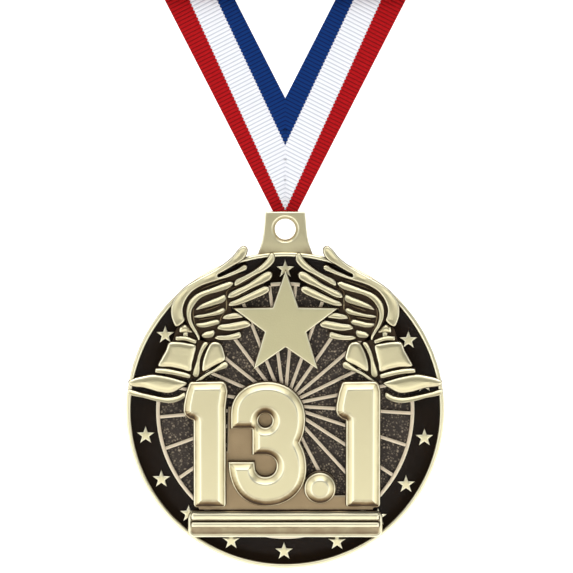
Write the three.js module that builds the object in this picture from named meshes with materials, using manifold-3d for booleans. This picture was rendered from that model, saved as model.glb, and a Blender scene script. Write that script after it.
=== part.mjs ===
// Sports finisher medal with its neck ribbon: a cast disc with a winged running shoe on each
// side, a large star, the race distance in raised figures and a plinth, hung from a ribbon.
// Units are millimetres and +Z is up. The medal hangs upright and its face looks along -Y.
// The origin is the point that holds the folded ribbon up, at the top of the ribbon's tie.

import * as THREE from 'three';
import { mergeVertices } from 'three/addons/utils/BufferGeometryUtils.js';
import Module from 'manifold-3d';

const wasm = await Module();
wasm.setup();

// ---------------------------------------------------------------------------
// Driving sizes
// ---------------------------------------------------------------------------

// Disc
const DISC_R = 38.1; // a 3 inch disc
const RIM_W = 1.1; // raised outer rim
const BAND_W = 6.0; // enamelled band that carries the small stars
const RING_W = 1.0; // raised ring between the band and the field
const CELL_GAP = 0.05; // clearance on each side of a ring or disc that lies in a cell

// Heights, measured forward from the flat back of the medal
const PLATE_H = 1.9; // plain plate
const FIELD_H = 2.1; // pebbled field
const DECK_H = 2.4; // enamel surface, and the level that the relief stands on
const RAY_H = 2.7;
const RING_H = 2.9;
const BAND_STAR_H = 3.0;
const RIM_H = 3.3;
const PLAQUE_H = 3.4;
const COVERT_H = 3.7;
const SHOE_H = 4.1;
const PLINTH_H = 4.0;
const FEATHER_H = 4.2;
const BIG_STAR_H = 4.7;
const RIB_H = 4.9;
const DIGIT_H = 6.2;
const BACK_RECESS = 0.3; // depth of the shallow recess in the back
const BACK_RIM_W = 3.0; // border left around that recess

// Rays, and small stars on the enamel
const RAY_W = 0.83;
const RAY_HUB_R = 4.0; // where the rays run together
const BAND_STAR_R = 0.39 * BAND_W;
const BAND_STAR_INNER_R = 0.42 * BAND_STAR_R;

// Hanger tab and the bar that the ribbon loops round
const TAB_RISE = 9.6; // from the disc's edge to the tab's top edge
const TAB_TOP_W = 9.6;
const TAB_FOOT_W = 13.4;
const TAB_T = 2.7;
const TAB_OVERLAP = 1.0; // how far the tab's foot comes in over the disc
const HOLE_R = 2.46;
const HOLE_DROP = 4.2; // from the tab's top edge to the hole's centre
const BAR_R = 0.5;
const BAR_DROP = 0.8; // from the tab's top edge to the bar's axis
const BAR_HALF_LENGTH = 3.35;
const LUG_T = 0.8;
const LUG_R = 0.7; // half the lug's height
const LUG_ROOT = 0.5; // how far the lug goes into the tab
const TAB_FLARE_RISE = 4.0; // above the foot, where the flare's curve bends
const TAB_FLARE_W = 1.0;

// Ribbon
const RIBBON_W = 15.0;
const RIBBON_T = 0.4;
const STRAP_ANGLE = 27.1; // degrees from the vertical
const STRAP_RISE = 50.9; // from the tab's top edge to the folded bundle
const TIP_HALF_W = 3.0; // half the ribbon's width where it meets the tab
const LOOP_RISE = 2.6; // from the bar's axis to where the two layers meet
const LOOP_CLEARANCE = 0.05; // between the bar and the ribbon round it
const SWING_CLEARANCE = 0.15; // between the ribbon's loop and the back of the medal
const HANK_W = 64; // the rest of the ribbon is folded into runs of this length
const HANK_T = 6.0;
const TIE_W = 10.0;
const TIE_T = 0.5;

// Drawn relief: the artwork's points are given for a disc of this radius
const DRAWN_R = 38.1;
const RELIEF_GAP = 0.3; // between a piece and the taller piece that cuts it
const CUT_DEPTH = 12; // longer than any cut
const CHAMFER = 0.25; // on broad pieces
const FACE_CHAMFER = 0.3; // on the large star and the plinth
const TINY_CHAMFER = 0.15; // on the small stars
const FIGURE_CHAMFER = 0.7;
const SLIM_CHAMFER = 0.14; // on feathers, straps and bands, as a share of their width
const ROUND_STEPS = 96; // faces round a turned piece
const BAR_STEPS = 20;

// ---------------------------------------------------------------------------
// Places worked out from the sizes
// ---------------------------------------------------------------------------

const ART = DISC_R / DRAWN_R;
const LOOP_R = BAR_R + LOOP_CLEARANCE + RIBBON_T;
const BACK_Y = -(LOOP_R + SWING_CLEARANCE);
const HANK_TOP_Z = -TIE_T;
const HANK_BOTTOM_Z = HANK_TOP_Z - RIBBON_W;
const TAB_TOP_Z = HANK_BOTTOM_Z - STRAP_RISE;
const BAR_Z = TAB_TOP_Z - BAR_DROP;
const DISC_Z = TAB_TOP_Z - TAB_RISE - DISC_R;
const BAND_OUTER_R = DISC_R - RIM_W;
const BAND_INNER_R = BAND_OUTER_R - BAND_W;
const BAND_STAR_CIRCLE = (BAND_OUTER_R + BAND_INNER_R) / 2;
const FIELD_R = BAND_INNER_R - RING_W;
const SLOPE = Math.tan(THREE.MathUtils.degToRad(STRAP_ANGLE));
const STRAP_SPAN = RIBBON_W / Math.cos(THREE.MathUtils.degToRad(STRAP_ANGLE));

// ---------------------------------------------------------------------------
// Materials
// ---------------------------------------------------------------------------

const metal = (color, roughness) => new THREE.MeshStandardMaterial({ color, roughness, metalness: 1 });
const cloth = (color) => new THREE.MeshStandardMaterial({ color, roughness: 0.85, metalness: 0 });

const GOLD = metal(0xd9d0a4, 0.32);
const SATIN_GOLD = metal(0xcdc69b, 0.42);
const PATINA = metal(0x9a8263, 0.5);
const DARK_FIELD = metal(0x4a4036, 0.75);
const RAY_METAL = metal(0xb59c82, 0.55);
const ENAMEL = new THREE.MeshStandardMaterial({ color: 0x1c1002, roughness: 0.12, metalness: 0 });
const RED = cloth(0xa8131d);
const BLUE = cloth(0x1b2a66);
const WHITE = cloth(0xe9e9ea);

// ---------------------------------------------------------------------------
// Solids
// ---------------------------------------------------------------------------

// A closed three.js geometry as a manifold solid.
function toSolid(geometry) {
  const bare = new THREE.BufferGeometry();
  bare.setAttribute('position', geometry.getAttribute('position'));
  bare.setIndex(geometry.getIndex());
  const merged = mergeVertices(bare, 1e-5);
  const index = merged.getIndex().array;
  const triangles = [];
  for (let i = 0; i < index.length; i += 3) {
    const [a, b, c] = [index[i], index[i + 1], index[i + 2]];
    if (a !== b && b !== c && c !== a) triangles.push(a, b, c);
  }
  const vertProperties = Float32Array.from(merged.getAttribute('position').array);
  const triVerts = Uint32Array.from(triangles);
  return new wasm.Manifold(new wasm.Mesh({ numProp: 3, vertProperties, triVerts }));
}

function toMesh(name, solid, material) {
  const { vertProperties, triVerts } = solid.getMesh();
  const geometry = new THREE.BufferGeometry();
  geometry.setAttribute('position', new THREE.BufferAttribute(vertProperties, 3));
  geometry.setIndex(new THREE.BufferAttribute(triVerts, 1));
  const faceted = geometry.toNonIndexed();
  faceted.computeVertexNormals();
  const mesh = new THREE.Mesh(faceted, material);
  mesh.name = name;
  return mesh;
}

const join = (solids) => solids.reduce((all, solid) => all.add(solid));
const largestBody = (solid) => solid.decompose().sort((a, b) => b.volume() - a.volume())[0];
const cut = (solid, cutters) => cutters.reduce((rest, cutter) => rest.subtract(cutter), solid);

// A prism of a shape drawn on the disc, between two heights above the medal's back.
// A chamfer runs round its front edge.
function relief(shape, fromH, toH, chamfer = CHAMFER) {
  const options = { depth: toH - fromH - chamfer, curveSegments: 8, bevelEnabled: chamfer > 0 };
  options.bevelThickness = chamfer;
  options.bevelSize = chamfer;
  options.bevelOffset = -chamfer;
  options.bevelSegments = 1;
  const geometry = new THREE.ExtrudeGeometry(shape, options);
  geometry.rotateX(Math.PI / 2);
  geometry.translate(0, BACK_Y - fromH, DISC_Z);
  const solid = toSolid(geometry);
  if (chamfer === 0) return solid;
  return solid.subtract(slabBehind(fromH));
}

// A large block that reaches back from a height above the medal's back.
function slabBehind(height) {
  const block = new THREE.BoxGeometry(4 * DISC_R, CUT_DEPTH, 4 * DISC_R);
  block.translate(0, BACK_Y - height + CUT_DEPTH / 2, DISC_Z);
  return toSolid(block);
}

// The space that a piece keeps clear around itself, forward of a height.
function clearance(shape, fromH) {
  const options = { depth: CUT_DEPTH, curveSegments: 8, bevelEnabled: true };
  options.bevelThickness = RELIEF_GAP;
  options.bevelSize = RELIEF_GAP;
  options.bevelSegments = 1;
  const geometry = new THREE.ExtrudeGeometry(shape, options);
  geometry.rotateX(Math.PI / 2);
  geometry.translate(0, BACK_Y - fromH, DISC_Z);
  return toSolid(geometry).subtract(slabBehind(fromH));
}

// A ring or disc about the medal's axis, between two radii and two heights.
function turned(innerR, outerR, fromH, toH) {
  const [back, front] = [BACK_Y - fromH, BACK_Y - toH];
  const profile = [[innerR, front], [outerR, front], [outerR, back], [innerR, back]];
  return lathe(innerR > 0 ? [...profile, profile[0]] : profile);
}

function lathe(profile) {
  const points = profile.map(([r, y]) => new THREE.Vector2(r, y));
  const geometry = new THREE.LatheGeometry(points, ROUND_STEPS);
  geometry.translate(0, 0, DISC_Z);
  return toSolid(geometry);
}

// ---------------------------------------------------------------------------
// Outlines on the disc, from its centre
// ---------------------------------------------------------------------------

const SIDES = [['left', 1], ['right', -1]];
const mirrored = (points, side) => points.map(([x, z]) => [x * side, z]);

function polygon(points) {
  const corners = points.map(([x, z]) => new THREE.Vector2(x * ART, z * ART));
  if (THREE.ShapeUtils.isClockWise(corners)) corners.reverse();
  return new THREE.Shape(corners);
}

// A rounded outline through a few points.
function rounded(points, perSpan = 3) {
  const curve = new THREE.CatmullRomCurve3(points.map(([x, z]) => new THREE.Vector3(x, z, 0)), true);
  return polygon(curve.getPoints(points.length * perSpan).slice(0, -1).map((p) => [p.x, p.y]));
}

// A feather, strap or band: it follows a spine and rounds off at both ends.
// fullness 2 gives an ellipse's ends, and a larger one squarer ends.
function leaf(spine, width, fullness = 3, tipScale = 1, steps = 9) {
  const curve = new THREE.CatmullRomCurve3(spine.map(([x, z]) => new THREE.Vector3(x, z, 0)));
  const above = [];
  const below = [];
  for (let i = 0; i <= steps; i += 1) {
    const t = (1 - Math.cos(Math.PI * i / steps)) / 2;
    const scale = 1 + (tipScale - 1) * t;
    const swell = Math.max(0, 1 - Math.abs(2 * t - 1) ** fullness) ** (1 / fullness);
    const half = width / 2 * scale * swell;
    const at = curve.getPointAt(t);
    const along = curve.getTangentAt(t);
    above.push([at.x - along.y * half, at.y + along.x * half]);
    if (i > 0 && i < steps) below.unshift([at.x + along.y * half, at.y - along.x * half]);
  }
  return polygon([...above, ...below]);
}

function star(x, z, outerR, innerR) {
  const points = [];
  for (let i = 0; i < 10; i += 1) {
    const angle = Math.PI / 2 + i * Math.PI / 5;
    const r = i % 2 === 0 ? outerR : innerR;
    points.push([x + r * Math.cos(angle), z + r * Math.sin(angle)]);
  }
  return polygon(points);
}

// ---------------------------------------------------------------------------
// Figures, point, plaque and plinth
// ---------------------------------------------------------------------------

const FIGURE_TOP = 7.3;
const FIGURE_FOOT = -22.3;
const PLAQUE_FOOT = -24.0;
const LEFT_ONE = [0, -14.1]; // shift and stem edge
const RIGHT_ONE = [36.4, -13.6];
const POINT_CENTRE = [8.3, -18.4];
const POINT_R = 3.9;

// The figure one, with its serif rounded and its foot square. stemEdge is its right side.
function figureOne(shift, stemEdge) {
  const points = [
    [-22.0, FIGURE_FOOT], [stemEdge, FIGURE_FOOT], [stemEdge, 1.2],
    [-13.6, 5.0], [-14.1, 6.6], [-15.3, FIGURE_TOP],
    [-22.1, FIGURE_TOP], [-23.1, 6.6], [-23.7, 4.8], [-24.3, 1.8], [-24.4, 0.2],
    [-24.0, -0.9], [-23.0, -1.7], [-22.0, -2.1],
  ];
  return polygon(points.map(([x, z]) => [x + shift, z]));
}

function curveTo(path, ...values) {
  path.bezierCurveTo(...values.map((value) => value * ART));
}

function lineTo(path, x, z) {
  path.lineTo(x * ART, z * ART);
}

// The figure three, with its upper counter closed and its lower counter open to the left.
function figureThree() {
  const path = new THREE.Shape();
  path.moveTo(-13.1 * ART, -4.2 * ART);
  lineTo(path, -8.0, -4.2);
  lineTo(path, -8.0, -10.5);
  lineTo(path, -4.8, -10.5);
  curveTo(path, -3.3, -10.6, -2.2, -11.5, -2.2, -12.9);
  curveTo(path, -2.2, -14.4, -3.2, -15.5, -4.8, -15.5);
  curveTo(path, -5.9, -15.5, -6.7, -14.9, -7.0, -14.0);
  lineTo(path, -7.3, -11.9);
  lineTo(path, -13.7, -11.9);
  curveTo(path, -13.7, -18.6, -10.2, -22.9, -4.6, -22.9);
  curveTo(path, 0.9, -22.9, 5.2, -19.2, 5.2, -13.6);
  curveTo(path, 5.2, -11.6, 4.8, -9.4, 3.6, -7.4);
  curveTo(path, 4.4, -5.8, 4.9, -4.2, 4.9, -1.6);
  curveTo(path, 4.9, 3.7, 0.9, FIGURE_TOP, -4.3, FIGURE_TOP);
  curveTo(path, -9.3, FIGURE_TOP, -13.1, 4.3, -13.1, -0.5);
  lineTo(path, -13.1, -4.2);
  const counter = new THREE.Path();
  counter.absarc(-4.75 * ART, -2.1 * ART, 1.55 * ART, 0, 2 * Math.PI, true);
  path.holes.push(counter);
  return path;
}

function point(extraR = 0) {
  const path = new THREE.Shape();
  path.absarc(POINT_CENTRE[0] * ART, POINT_CENTRE[1] * ART, (POINT_R + extraR) * ART, 0, 2 * Math.PI);
  return path;
}

// The plaque's parts: each figure's own outline, and the ground that joins them.
function plaqueShapes() {
  const three = figureThree();
  three.holes = [];
  const betweenFigures = polygon([[-14.5, PLAQUE_FOOT], [-4, PLAQUE_FOOT], [-4, 1.2], [-13.8, 1.2]]);
  const ground = polygon([
    [-20.6, PLAQUE_FOOT], [20.9, PLAQUE_FOOT], [22.8, -21.6], [22.8, -20.2], [5.0, -20.2],
    [5.0, -15.6], [-4, -15.6], [-22.0, -20.2], [-22.0, -21.5],
  ]);
  return [three, figureOne(...LEFT_ONE), figureOne(...RIGHT_ONE), point(0.2), betweenFigures, ground];
}

const PLINTH_HALF_W = 23.4;
const PLINTH_FOOT = -30.5;
const PLINTH_CORNER = 1.75;
const PLINTH_RIB_HALF_W = 22.6;
const UPPER_RIB = [PLINTH_RIB_HALF_W, -24.3, -26.2, 0.6]; // half width, top, foot, corner
const LOWER_RIB = [PLINTH_RIB_HALF_W, -26.5, -28.0, 0.5];

// A bar with rounded corners.
function bar(halfW, top, foot, corner) {
  const path = new THREE.Shape();
  const arc = (x, z, from) => {
    path.absarc(x * ART, z * ART, corner * ART, from, from + Math.PI / 2);
  };
  arc(halfW - corner, top - corner, 0);
  arc(-halfW + corner, top - corner, Math.PI / 2);
  arc(-halfW + corner, foot + corner, Math.PI);
  arc(halfW - corner, foot + corner, 1.5 * Math.PI);
  return path;
}

// ---------------------------------------------------------------------------
// Wing and shoe of the left side; the right side is its mirror image
// ---------------------------------------------------------------------------

const LEADING = {
  spine: [[-25.6, 21.0], [-25.8, 25.2], [-23.3, 28.8], [-18.0, 32.0], [-13.0, 34.9], [-9.6, 38.8]],
  width: 3.0, fullness: 6, tip: 0.72, steps: 12,
};
const BRANCH = { spine: [[-19.5, 30.6], [-15.5, 31.9], [-12.0, 33.2], [-9.4, 34.7]], width: 1.5 };
const ARC = {
  spine: [
    [-20.7, 17.1], [-21.7, 19.7], [-22.8, 22.4], [-22.8, 24.6], [-21.7, 26.7],
    [-18.6, 28.6], [-12.5, 30.9],
  ],
  width: 1.3, fullness: 4, tip: 1.3, steps: 12,
};
const COVERTS = [
  { spine: [[-21.2, 25.0], [-18.0, 26.2], [-14.2, 27.4]], width: 2.0 },
  { spine: [[-21.7, 22.7], [-18.0, 23.3], [-14.4, 24.1]], width: 1.4 },
  { spine: [[-21.1, 20.9], [-18.0, 21.0], [-15.5, 21.4]], width: 1.5 },
  { spine: [[-20.2, 18.1], [-18.4, 18.3], [-16.7, 18.7]], width: 1.8 },
];
const ROOT_W = 0.8; // width of the ridge that joins the feathers' roots
const COVERT_ROOT = [[-19.8, 25.8], [-20.4, 23.2], [-20.0, 20.9], [-19.2, 18.2]];
const PRIMARIES = [
  { spine: [[-12.4, 30.8], [-9.0, 32.4], [-5.6, 34.6], [-2.9, 37.9]], width: 2.0, tip: 1.35 },
  { spine: [[-13.6, 27.7], [-10.5, 29.1], [-7.0, 30.9], [-3.2, 32.6]], width: 1.9, tip: 1.3 },
  { spine: [[-13.7, 25.3], [-10.5, 26.5], [-7.0, 28.0], [-3.7, 29.4]], width: 1.7, tip: 1.25 },
  { spine: [[-14.9, 22.4], [-12.5, 22.9], [-9.0, 23.6]], width: 1.4, tip: 1 },
  { spine: [[-16.1, 20.0], [-12.0, 20.6], [-7.9, 20.9]], width: 2.4, tip: 1 },
  { spine: [[-16.8, 17.6], [-13.8, 17.8], [-10.4, 18.4]], width: 1.8, tip: 1 },
];
const PRIMARY_ROOT = [
  [-11.2, 31.4], [-12.9, 27.8], [-13.5, 25.0], [-13.6, 22.5], [-14.6, 20.0], [-15.4, 17.6],
];

const TONGUE = [[-25.1, 18.9], [-24.7, 20.2], [-23.6, 20.5], [-22.9, 19.8], [-22.3, 18.6], [-23.6, 18.7]];
const COLLAR = { spine: [[-26.2, 17.3], [-23.8, 17.5], [-21.3, 16.4]], width: 0.85 };
const COLLAR_NECK = { spine: [[-23.8, 19.6], [-23.8, 17.2]], width: 1.2 };
const UPPER = [
  [-26.9, 16.6], [-25.2, 16.9], [-23.4, 16.4], [-21.5, 15.4], [-22.0, 13.0], [-22.5, 11.0],
  [-22.9, 9.7], [-25.0, 10.4], [-27.3, 10.9], [-30.2, 11.2], [-29.4, 13.2], [-28.2, 15.1],
];
const STRAP = { spine: [[-19.0, 16.8], [-20.3, 15.0], [-21.0, 12.3], [-21.6, 8.6]], width: 1.1 };
const HEEL = [
  [-17.5, 16.5], [-15.9, 16.4], [-14.8, 14.8], [-14.6, 12.9], [-16.4, 11.7], [-19.5, 10.5],
  [-19.4, 12.7], [-18.6, 15.0],
];
const HEEL_WEDGE = { spine: [[-14.0, 11.8], [-16.6, 10.4], [-18.8, 9.0], [-21.3, 7.4]], width: 1.5 };
const INSTEP = { spine: [[-31.4, 10.1], [-28.0, 9.7], [-25.0, 9.0], [-22.6, 8.1]], width: 1.1 };
const TOE = [
  [-37.4, 6.9], [-36.6, 8.2], [-34.0, 8.6], [-31.3, 9.0], [-28.5, 8.6], [-25.8, 8.0],
  [-23.4, 7.1], [-25.0, 5.5], [-27.2, 4.3], [-29.6, 4.2], [-33.0, 5.1], [-36.6, 5.9],
];
const SOLE = {
  spine: [[-37.8, 4.7], [-33.0, 3.3], [-29.0, 2.5], [-26.4, 2.7], [-23.8, 4.2]],
  width: 1.4, fullness: 4,
};

const leafOf = ({ spine, width, fullness, tip, steps }, side) => (
  leaf(mirrored(spine, side), width, fullness, tip, steps)
);

// A feather, strap or band that stands on the deck.
function raisedLeaf(piece, side, height) {
  return relief(leafOf(piece, side), DECK_H, height, SLIM_CHAMFER * piece.width);
}

// A row of feathers with the ridge that joins their roots, as one body.
function featherRow(rows, root, side, height) {
  const quills = rows.map((row) => raisedLeaf(row, side, height));
  return join([raisedLeaf({ spine: root, width: ROOT_W }, side, PLAQUE_H), ...quills]);
}

// ---------------------------------------------------------------------------
// The assembly
// ---------------------------------------------------------------------------

const group = new THREE.Group();
const add = (name, solid, material) => group.add(toMesh(name, solid, material));

const BIG_STAR = star(0.1, 20.7, 13.05, 5.2);
const PLINTH = bar(PLINTH_HALF_W, PLAQUE_FOOT, PLINTH_FOOT, PLINTH_CORNER);
const starClearance = clearance(BIG_STAR, DECK_H);
const plaqueClearance = join(plaqueShapes().map((shape) => clearance(shape, DECK_H)));
const plinthClearance = clearance(PLINTH, DECK_H);

// The pieces of one winged shoe, each cut back where a taller neighbour stands.
// Returns the space that they all keep clear.
function wingedShoe(label, side) {
  const outline = (points) => rounded(mirrored(points, side), 2);
  const slim = (piece, height) => raisedLeaf(piece, side, height);
  const broad = (points, height) => relief(outline(points), DECK_H, height);
  const parts = {
    wing_leading: join([slim(LEADING, FEATHER_H), slim(BRANCH, COVERT_H)]),
    wing_arc: slim(ARC, FEATHER_H),
    wing_coverts: featherRow(COVERTS, COVERT_ROOT, side, COVERT_H),
    wing_primaries: cut(featherRow(PRIMARIES, PRIMARY_ROOT, side, FEATHER_H), [starClearance]),
    shoe_collar: join([slim(COLLAR, SHOE_H), slim(COLLAR_NECK, PLAQUE_H), broad(TONGUE, COVERT_H)]),
    shoe_upper: broad(UPPER, SHOE_H),
    shoe_strap: slim(STRAP, SHOE_H),
    shoe_heel: broad(HEEL, SHOE_H),
    shoe_heel_wedge: cut(slim(HEEL_WEDGE, SHOE_H), [plaqueClearance]),
    shoe_instep: slim(INSTEP, SHOE_H),
    shoe_toe: cut(broad(TOE, SHOE_H), [plaqueClearance]),
    shoe_sole: cut(slim(SOLE, SHOE_H), [plaqueClearance]),
  };
  for (const [name, solid] of Object.entries(parts)) add(`${name}_${label}`, solid, GOLD);
  const ridges = [COVERT_ROOT, PRIMARY_ROOT].map((spine) => ({ spine, width: ROOT_W }));
  const slims = [
    LEADING, BRANCH, ARC, ...COVERTS, ...PRIMARIES, ...ridges,
    COLLAR, COLLAR_NECK, STRAP, HEEL_WEDGE, INSTEP, SOLE,
  ];
  const footprints = [
    ...slims.map((piece) => leafOf(piece, side)),
    ...[TONGUE, UPPER, HEEL, TOE].map(outline),
  ];
  return join(footprints.map((shape) => clearance(shape, DECK_H)));
}

const shoeClearances = SIDES.map(([label, side]) => wingedShoe(label, side));
const overRings = [...shoeClearances, starClearance, plaqueClearance, plinthClearance];

// Plate, rings and field
const backInner = DISC_R - BACK_RIM_W;
add('base_disc', lathe([
  [0, BACK_Y - PLATE_H], [DISC_R, BACK_Y - PLATE_H], [DISC_R, BACK_Y], [backInner, BACK_Y],
  [backInner - BACK_RECESS, BACK_Y - BACK_RECESS], [0, BACK_Y - BACK_RECESS],
]), GOLD);

const tabShape = hangerTabShape();
const tabClearance = clearance(tabShape, PLATE_H);
add('outer_rim', cut(turned(BAND_OUTER_R, DISC_R, PLATE_H, RIM_H), [...overRings, tabClearance]), GOLD);
add('enamel_band', turned(BAND_INNER_R + CELL_GAP, BAND_OUTER_R - CELL_GAP, PLATE_H, DECK_H), ENAMEL);
add('inner_ring', cut(turned(FIELD_R, BAND_INNER_R, PLATE_H, RING_H), overRings), GOLD);
add('center_field', lathe([
  [0, BACK_Y - FIELD_H], [FIELD_R - CELL_GAP, BACK_Y - FIELD_H],
  [FIELD_R - CELL_GAP, BACK_Y - PLATE_H], [0, BACK_Y - PLATE_H],
]), DARK_FIELD);
add('ray_burst', cut(rayBurst(), overRings), RAY_METAL);

// Rays fan out on both sides of the upright from one centre. Angles are in degrees.
function rayBurst() {
  const [centreX, centreZ] = [-0.2, 1.3];
  const [upright, firstAngle, step, count] = [90.9, 6.2, 14.7, 12];
  const rays = [relief(circleAt(centreX, centreZ, RAY_HUB_R), FIELD_H, RAY_H, 0)];
  for (let i = 0; i < count; i += 1) {
    for (const side of [-1, 1]) {
      const angle = THREE.MathUtils.degToRad(upright + side * (firstAngle + i * step));
      const ray = new THREE.BoxGeometry(2 * DISC_R, RAY_H - FIELD_H, RAY_W * ART);
      ray.translate(DISC_R, 0, 0);
      ray.rotateY(-angle);
      ray.translate(centreX * ART, BACK_Y - (RAY_H + FIELD_H) / 2, DISC_Z + centreZ * ART);
      rays.push(toSolid(ray));
    }
  }
  return join(rays).intersect(turned(0, FIELD_R - CELL_GAP, FIELD_H, RAY_H));
}

function circleAt(x, z, r) {
  const path = new THREE.Shape();
  path.absarc(x * ART, z * ART, r * ART, 0, 2 * Math.PI);
  return path;
}

// Small stars on the enamel, all upright: the ones that the relief doesn't hide.
const BAND_STAR_ANGLES = [90, 30, 11, 349, 328.5, 311, 291.5, 269.5, 247.5, 227, 209, 190, 147.5];
BAND_STAR_ANGLES.forEach((degrees, i) => {
  const angle = THREE.MathUtils.degToRad(degrees);
  const [x, z] = [BAND_STAR_CIRCLE * Math.cos(angle), BAND_STAR_CIRCLE * Math.sin(angle)];
  const outline = star(x / ART, z / ART, BAND_STAR_R / ART, BAND_STAR_INNER_R / ART);
  const whole = relief(outline, DECK_H, BAND_STAR_H, TINY_CHAMFER);
  add(`band_star_${String(i + 1).padStart(2, '0')}`, largestBody(cut(whole, overRings)), GOLD);
});

// Large star, figures and plinth
add('big_star', relief(BIG_STAR, DECK_H, BIG_STAR_H, FACE_CHAMFER), SATIN_GOLD);
const plaque = join(plaqueShapes().map((shape) => relief(shape, DECK_H, PLAQUE_H, 0)));
add('number_plaque', plaque, PATINA);
add('digit_one_left', relief(figureOne(...LEFT_ONE), PLAQUE_H, DIGIT_H, FIGURE_CHAMFER), GOLD);
add('digit_three', relief(figureThree(), PLAQUE_H, DIGIT_H, FIGURE_CHAMFER), GOLD);
add('decimal_point', relief(point(), PLAQUE_H, DIGIT_H, FIGURE_CHAMFER), GOLD);
add('digit_one_right', relief(figureOne(...RIGHT_ONE), PLAQUE_H, DIGIT_H, FIGURE_CHAMFER), GOLD);
add('plinth_base', relief(PLINTH, DECK_H, PLINTH_H, FACE_CHAMFER), GOLD);
add('plinth_rib_upper', relief(bar(...UPPER_RIB), PLINTH_H, RIB_H), GOLD);
add('plinth_rib_lower', relief(bar(...LOWER_RIB), PLINTH_H, RIB_H), GOLD);

// ---------------------------------------------------------------------------
// Hanger tab and ribbon bar
// ---------------------------------------------------------------------------

// The tab's outline from the disc's centre: a flared foot, straight sides and a pierced hole.
function hangerTabShape() {
  const top = DISC_R + TAB_RISE;
  const foot = DISC_R - TAB_OVERLAP;
  const path = new THREE.Shape();
  path.moveTo(-TAB_TOP_W / 2, top);
  const bend = [(TAB_TOP_W + TAB_FLARE_W) / 2, foot + TAB_FLARE_RISE];
  path.quadraticCurveTo(-bend[0], bend[1], -TAB_FOOT_W / 2, foot);
  path.lineTo(TAB_FOOT_W / 2, foot);
  path.quadraticCurveTo(...bend, TAB_TOP_W / 2, top);
  const hole = new THREE.Path();
  hole.absarc(0, top - HOLE_DROP, HOLE_R, 0, 2 * Math.PI, true);
  path.holes.push(hole);
  return path;
}

function lug(side) {
  const [rear, root] = [LUG_R, BACK_Y - LUG_ROOT];
  const block = new THREE.BoxGeometry(LUG_T, rear - root, 2 * LUG_R);
  block.translate(side * (BAR_HALF_LENGTH + LUG_T / 2), (rear + root) / 2, BAR_Z);
  return toSolid(block);
}

function hangerTab() {
  const plate = relief(tabShape, 0, TAB_T);
  const seat = turned(0, DISC_R + CELL_GAP, -1, PLATE_H);
  return cut(join([plate, lug(1), lug(-1)]).subtract(seat), shoeClearances);
}

function cylinderAlongX(radius, halfLength, z) {
  const geometry = new THREE.CylinderGeometry(radius, radius, 2 * halfLength, BAR_STEPS);
  geometry.rotateZ(Math.PI / 2);
  geometry.translate(0, 0, z);
  return toSolid(geometry);
}

add('hanger_tab', hangerTab(), GOLD);
add('ribbon_bar', cylinderAlongX(BAR_R, BAR_HALF_LENGTH, BAR_Z), GOLD);

// ---------------------------------------------------------------------------
// Ribbon: two straps that meet on a mitre, a loop round the bar and the tied bundle
// ---------------------------------------------------------------------------

const LOOP_TOP_Z = BAR_Z + LOOP_RISE;
const outerEdge = (z) => TIP_HALF_W + (z - TAB_TOP_Z) * SLOPE;
const innerEdge = (z) => outerEdge(z) - STRAP_SPAN;

// A flat piece of ribbon in the plane of the strap; its corners are [x, z].
function ribbonPiece(corners, thickness = RIBBON_T) {
  const shape = new THREE.Shape(corners.map(([x, z]) => new THREE.Vector2(x, z)));
  const geometry = new THREE.ExtrudeGeometry(shape, { depth: thickness, bevelEnabled: false });
  geometry.rotateX(Math.PI / 2);
  geometry.translate(0, thickness / 2, 0);
  return toSolid(geometry);
}

function strap(side) {
  const meetZ = TAB_TOP_Z + (STRAP_SPAN - TIP_HALF_W) / SLOPE;
  const corners = [
    [0, LOOP_TOP_Z], [side * outerEdge(LOOP_TOP_Z), LOOP_TOP_Z],
    [side * outerEdge(HANK_BOTTOM_Z), HANK_BOTTOM_Z], [side * innerEdge(HANK_BOTTOM_Z), HANK_BOTTOM_Z],
    [0, meetZ],
  ];
  return ribbonPiece(side > 0 ? corners : corners.reverse());
}

// The ribbon's end round the bar: a drop-shaped loop, as wide as the ribbon's tip.
function ribbonLoop() {
  const reach = Math.hypot(RIBBON_T / 2, LOOP_RISE);
  const tangent = Math.acos(LOOP_R / reach) + Math.atan2(RIBBON_T / 2, LOOP_RISE);
  const profile = new THREE.Shape();
  profile.moveTo(RIBBON_T / 2, LOOP_RISE);
  profile.lineTo(-RIBBON_T / 2, LOOP_RISE);
  profile.absarc(0, 0, LOOP_R, Math.PI / 2 + tangent, Math.PI / 2 - tangent + 2 * Math.PI);
  const eye = new THREE.Path();
  eye.absarc(0, 0, BAR_R + LOOP_CLEARANCE, 0, 2 * Math.PI, true);
  profile.holes.push(eye);
  const width = 2 * BAR_HALF_LENGTH;
  const options = { depth: width, bevelEnabled: false, curveSegments: 12 };
  const geometry = new THREE.ExtrudeGeometry(profile, options);
  geometry.translate(0, 0, -width / 2);
  geometry.rotateX(Math.PI / 2);
  geometry.rotateZ(Math.PI / 2);
  geometry.translate(0, 0, BAR_Z);
  const low = BAR_Z - 2 * LOOP_R;
  const tip = [[-outerEdge(low), low], [outerEdge(low), low], [outerEdge(LOOP_TOP_Z), LOOP_TOP_Z],
    [-outerEdge(LOOP_TOP_Z), LOOP_TOP_Z]];
  return toSolid(geometry).intersect(ribbonPiece(tip, 4 * LOOP_R));
}

function box(width, depth, top, bottom) {
  const geometry = new THREE.BoxGeometry(width, depth, top - bottom);
  geometry.translate(0, 0, (top + bottom) / 2);
  return toSolid(geometry);
}

// The tie: a band round the middle of the bundle, with its top at the origin.
function ribbonTie() {
  const outside = box(TIE_W, HANK_T + 2 * TIE_T, 0, HANK_BOTTOM_Z - TIE_T);
  return outside.subtract(box(2 * TIE_W, HANK_T, HANK_TOP_Z, HANK_BOTTOM_Z));
}

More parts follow.
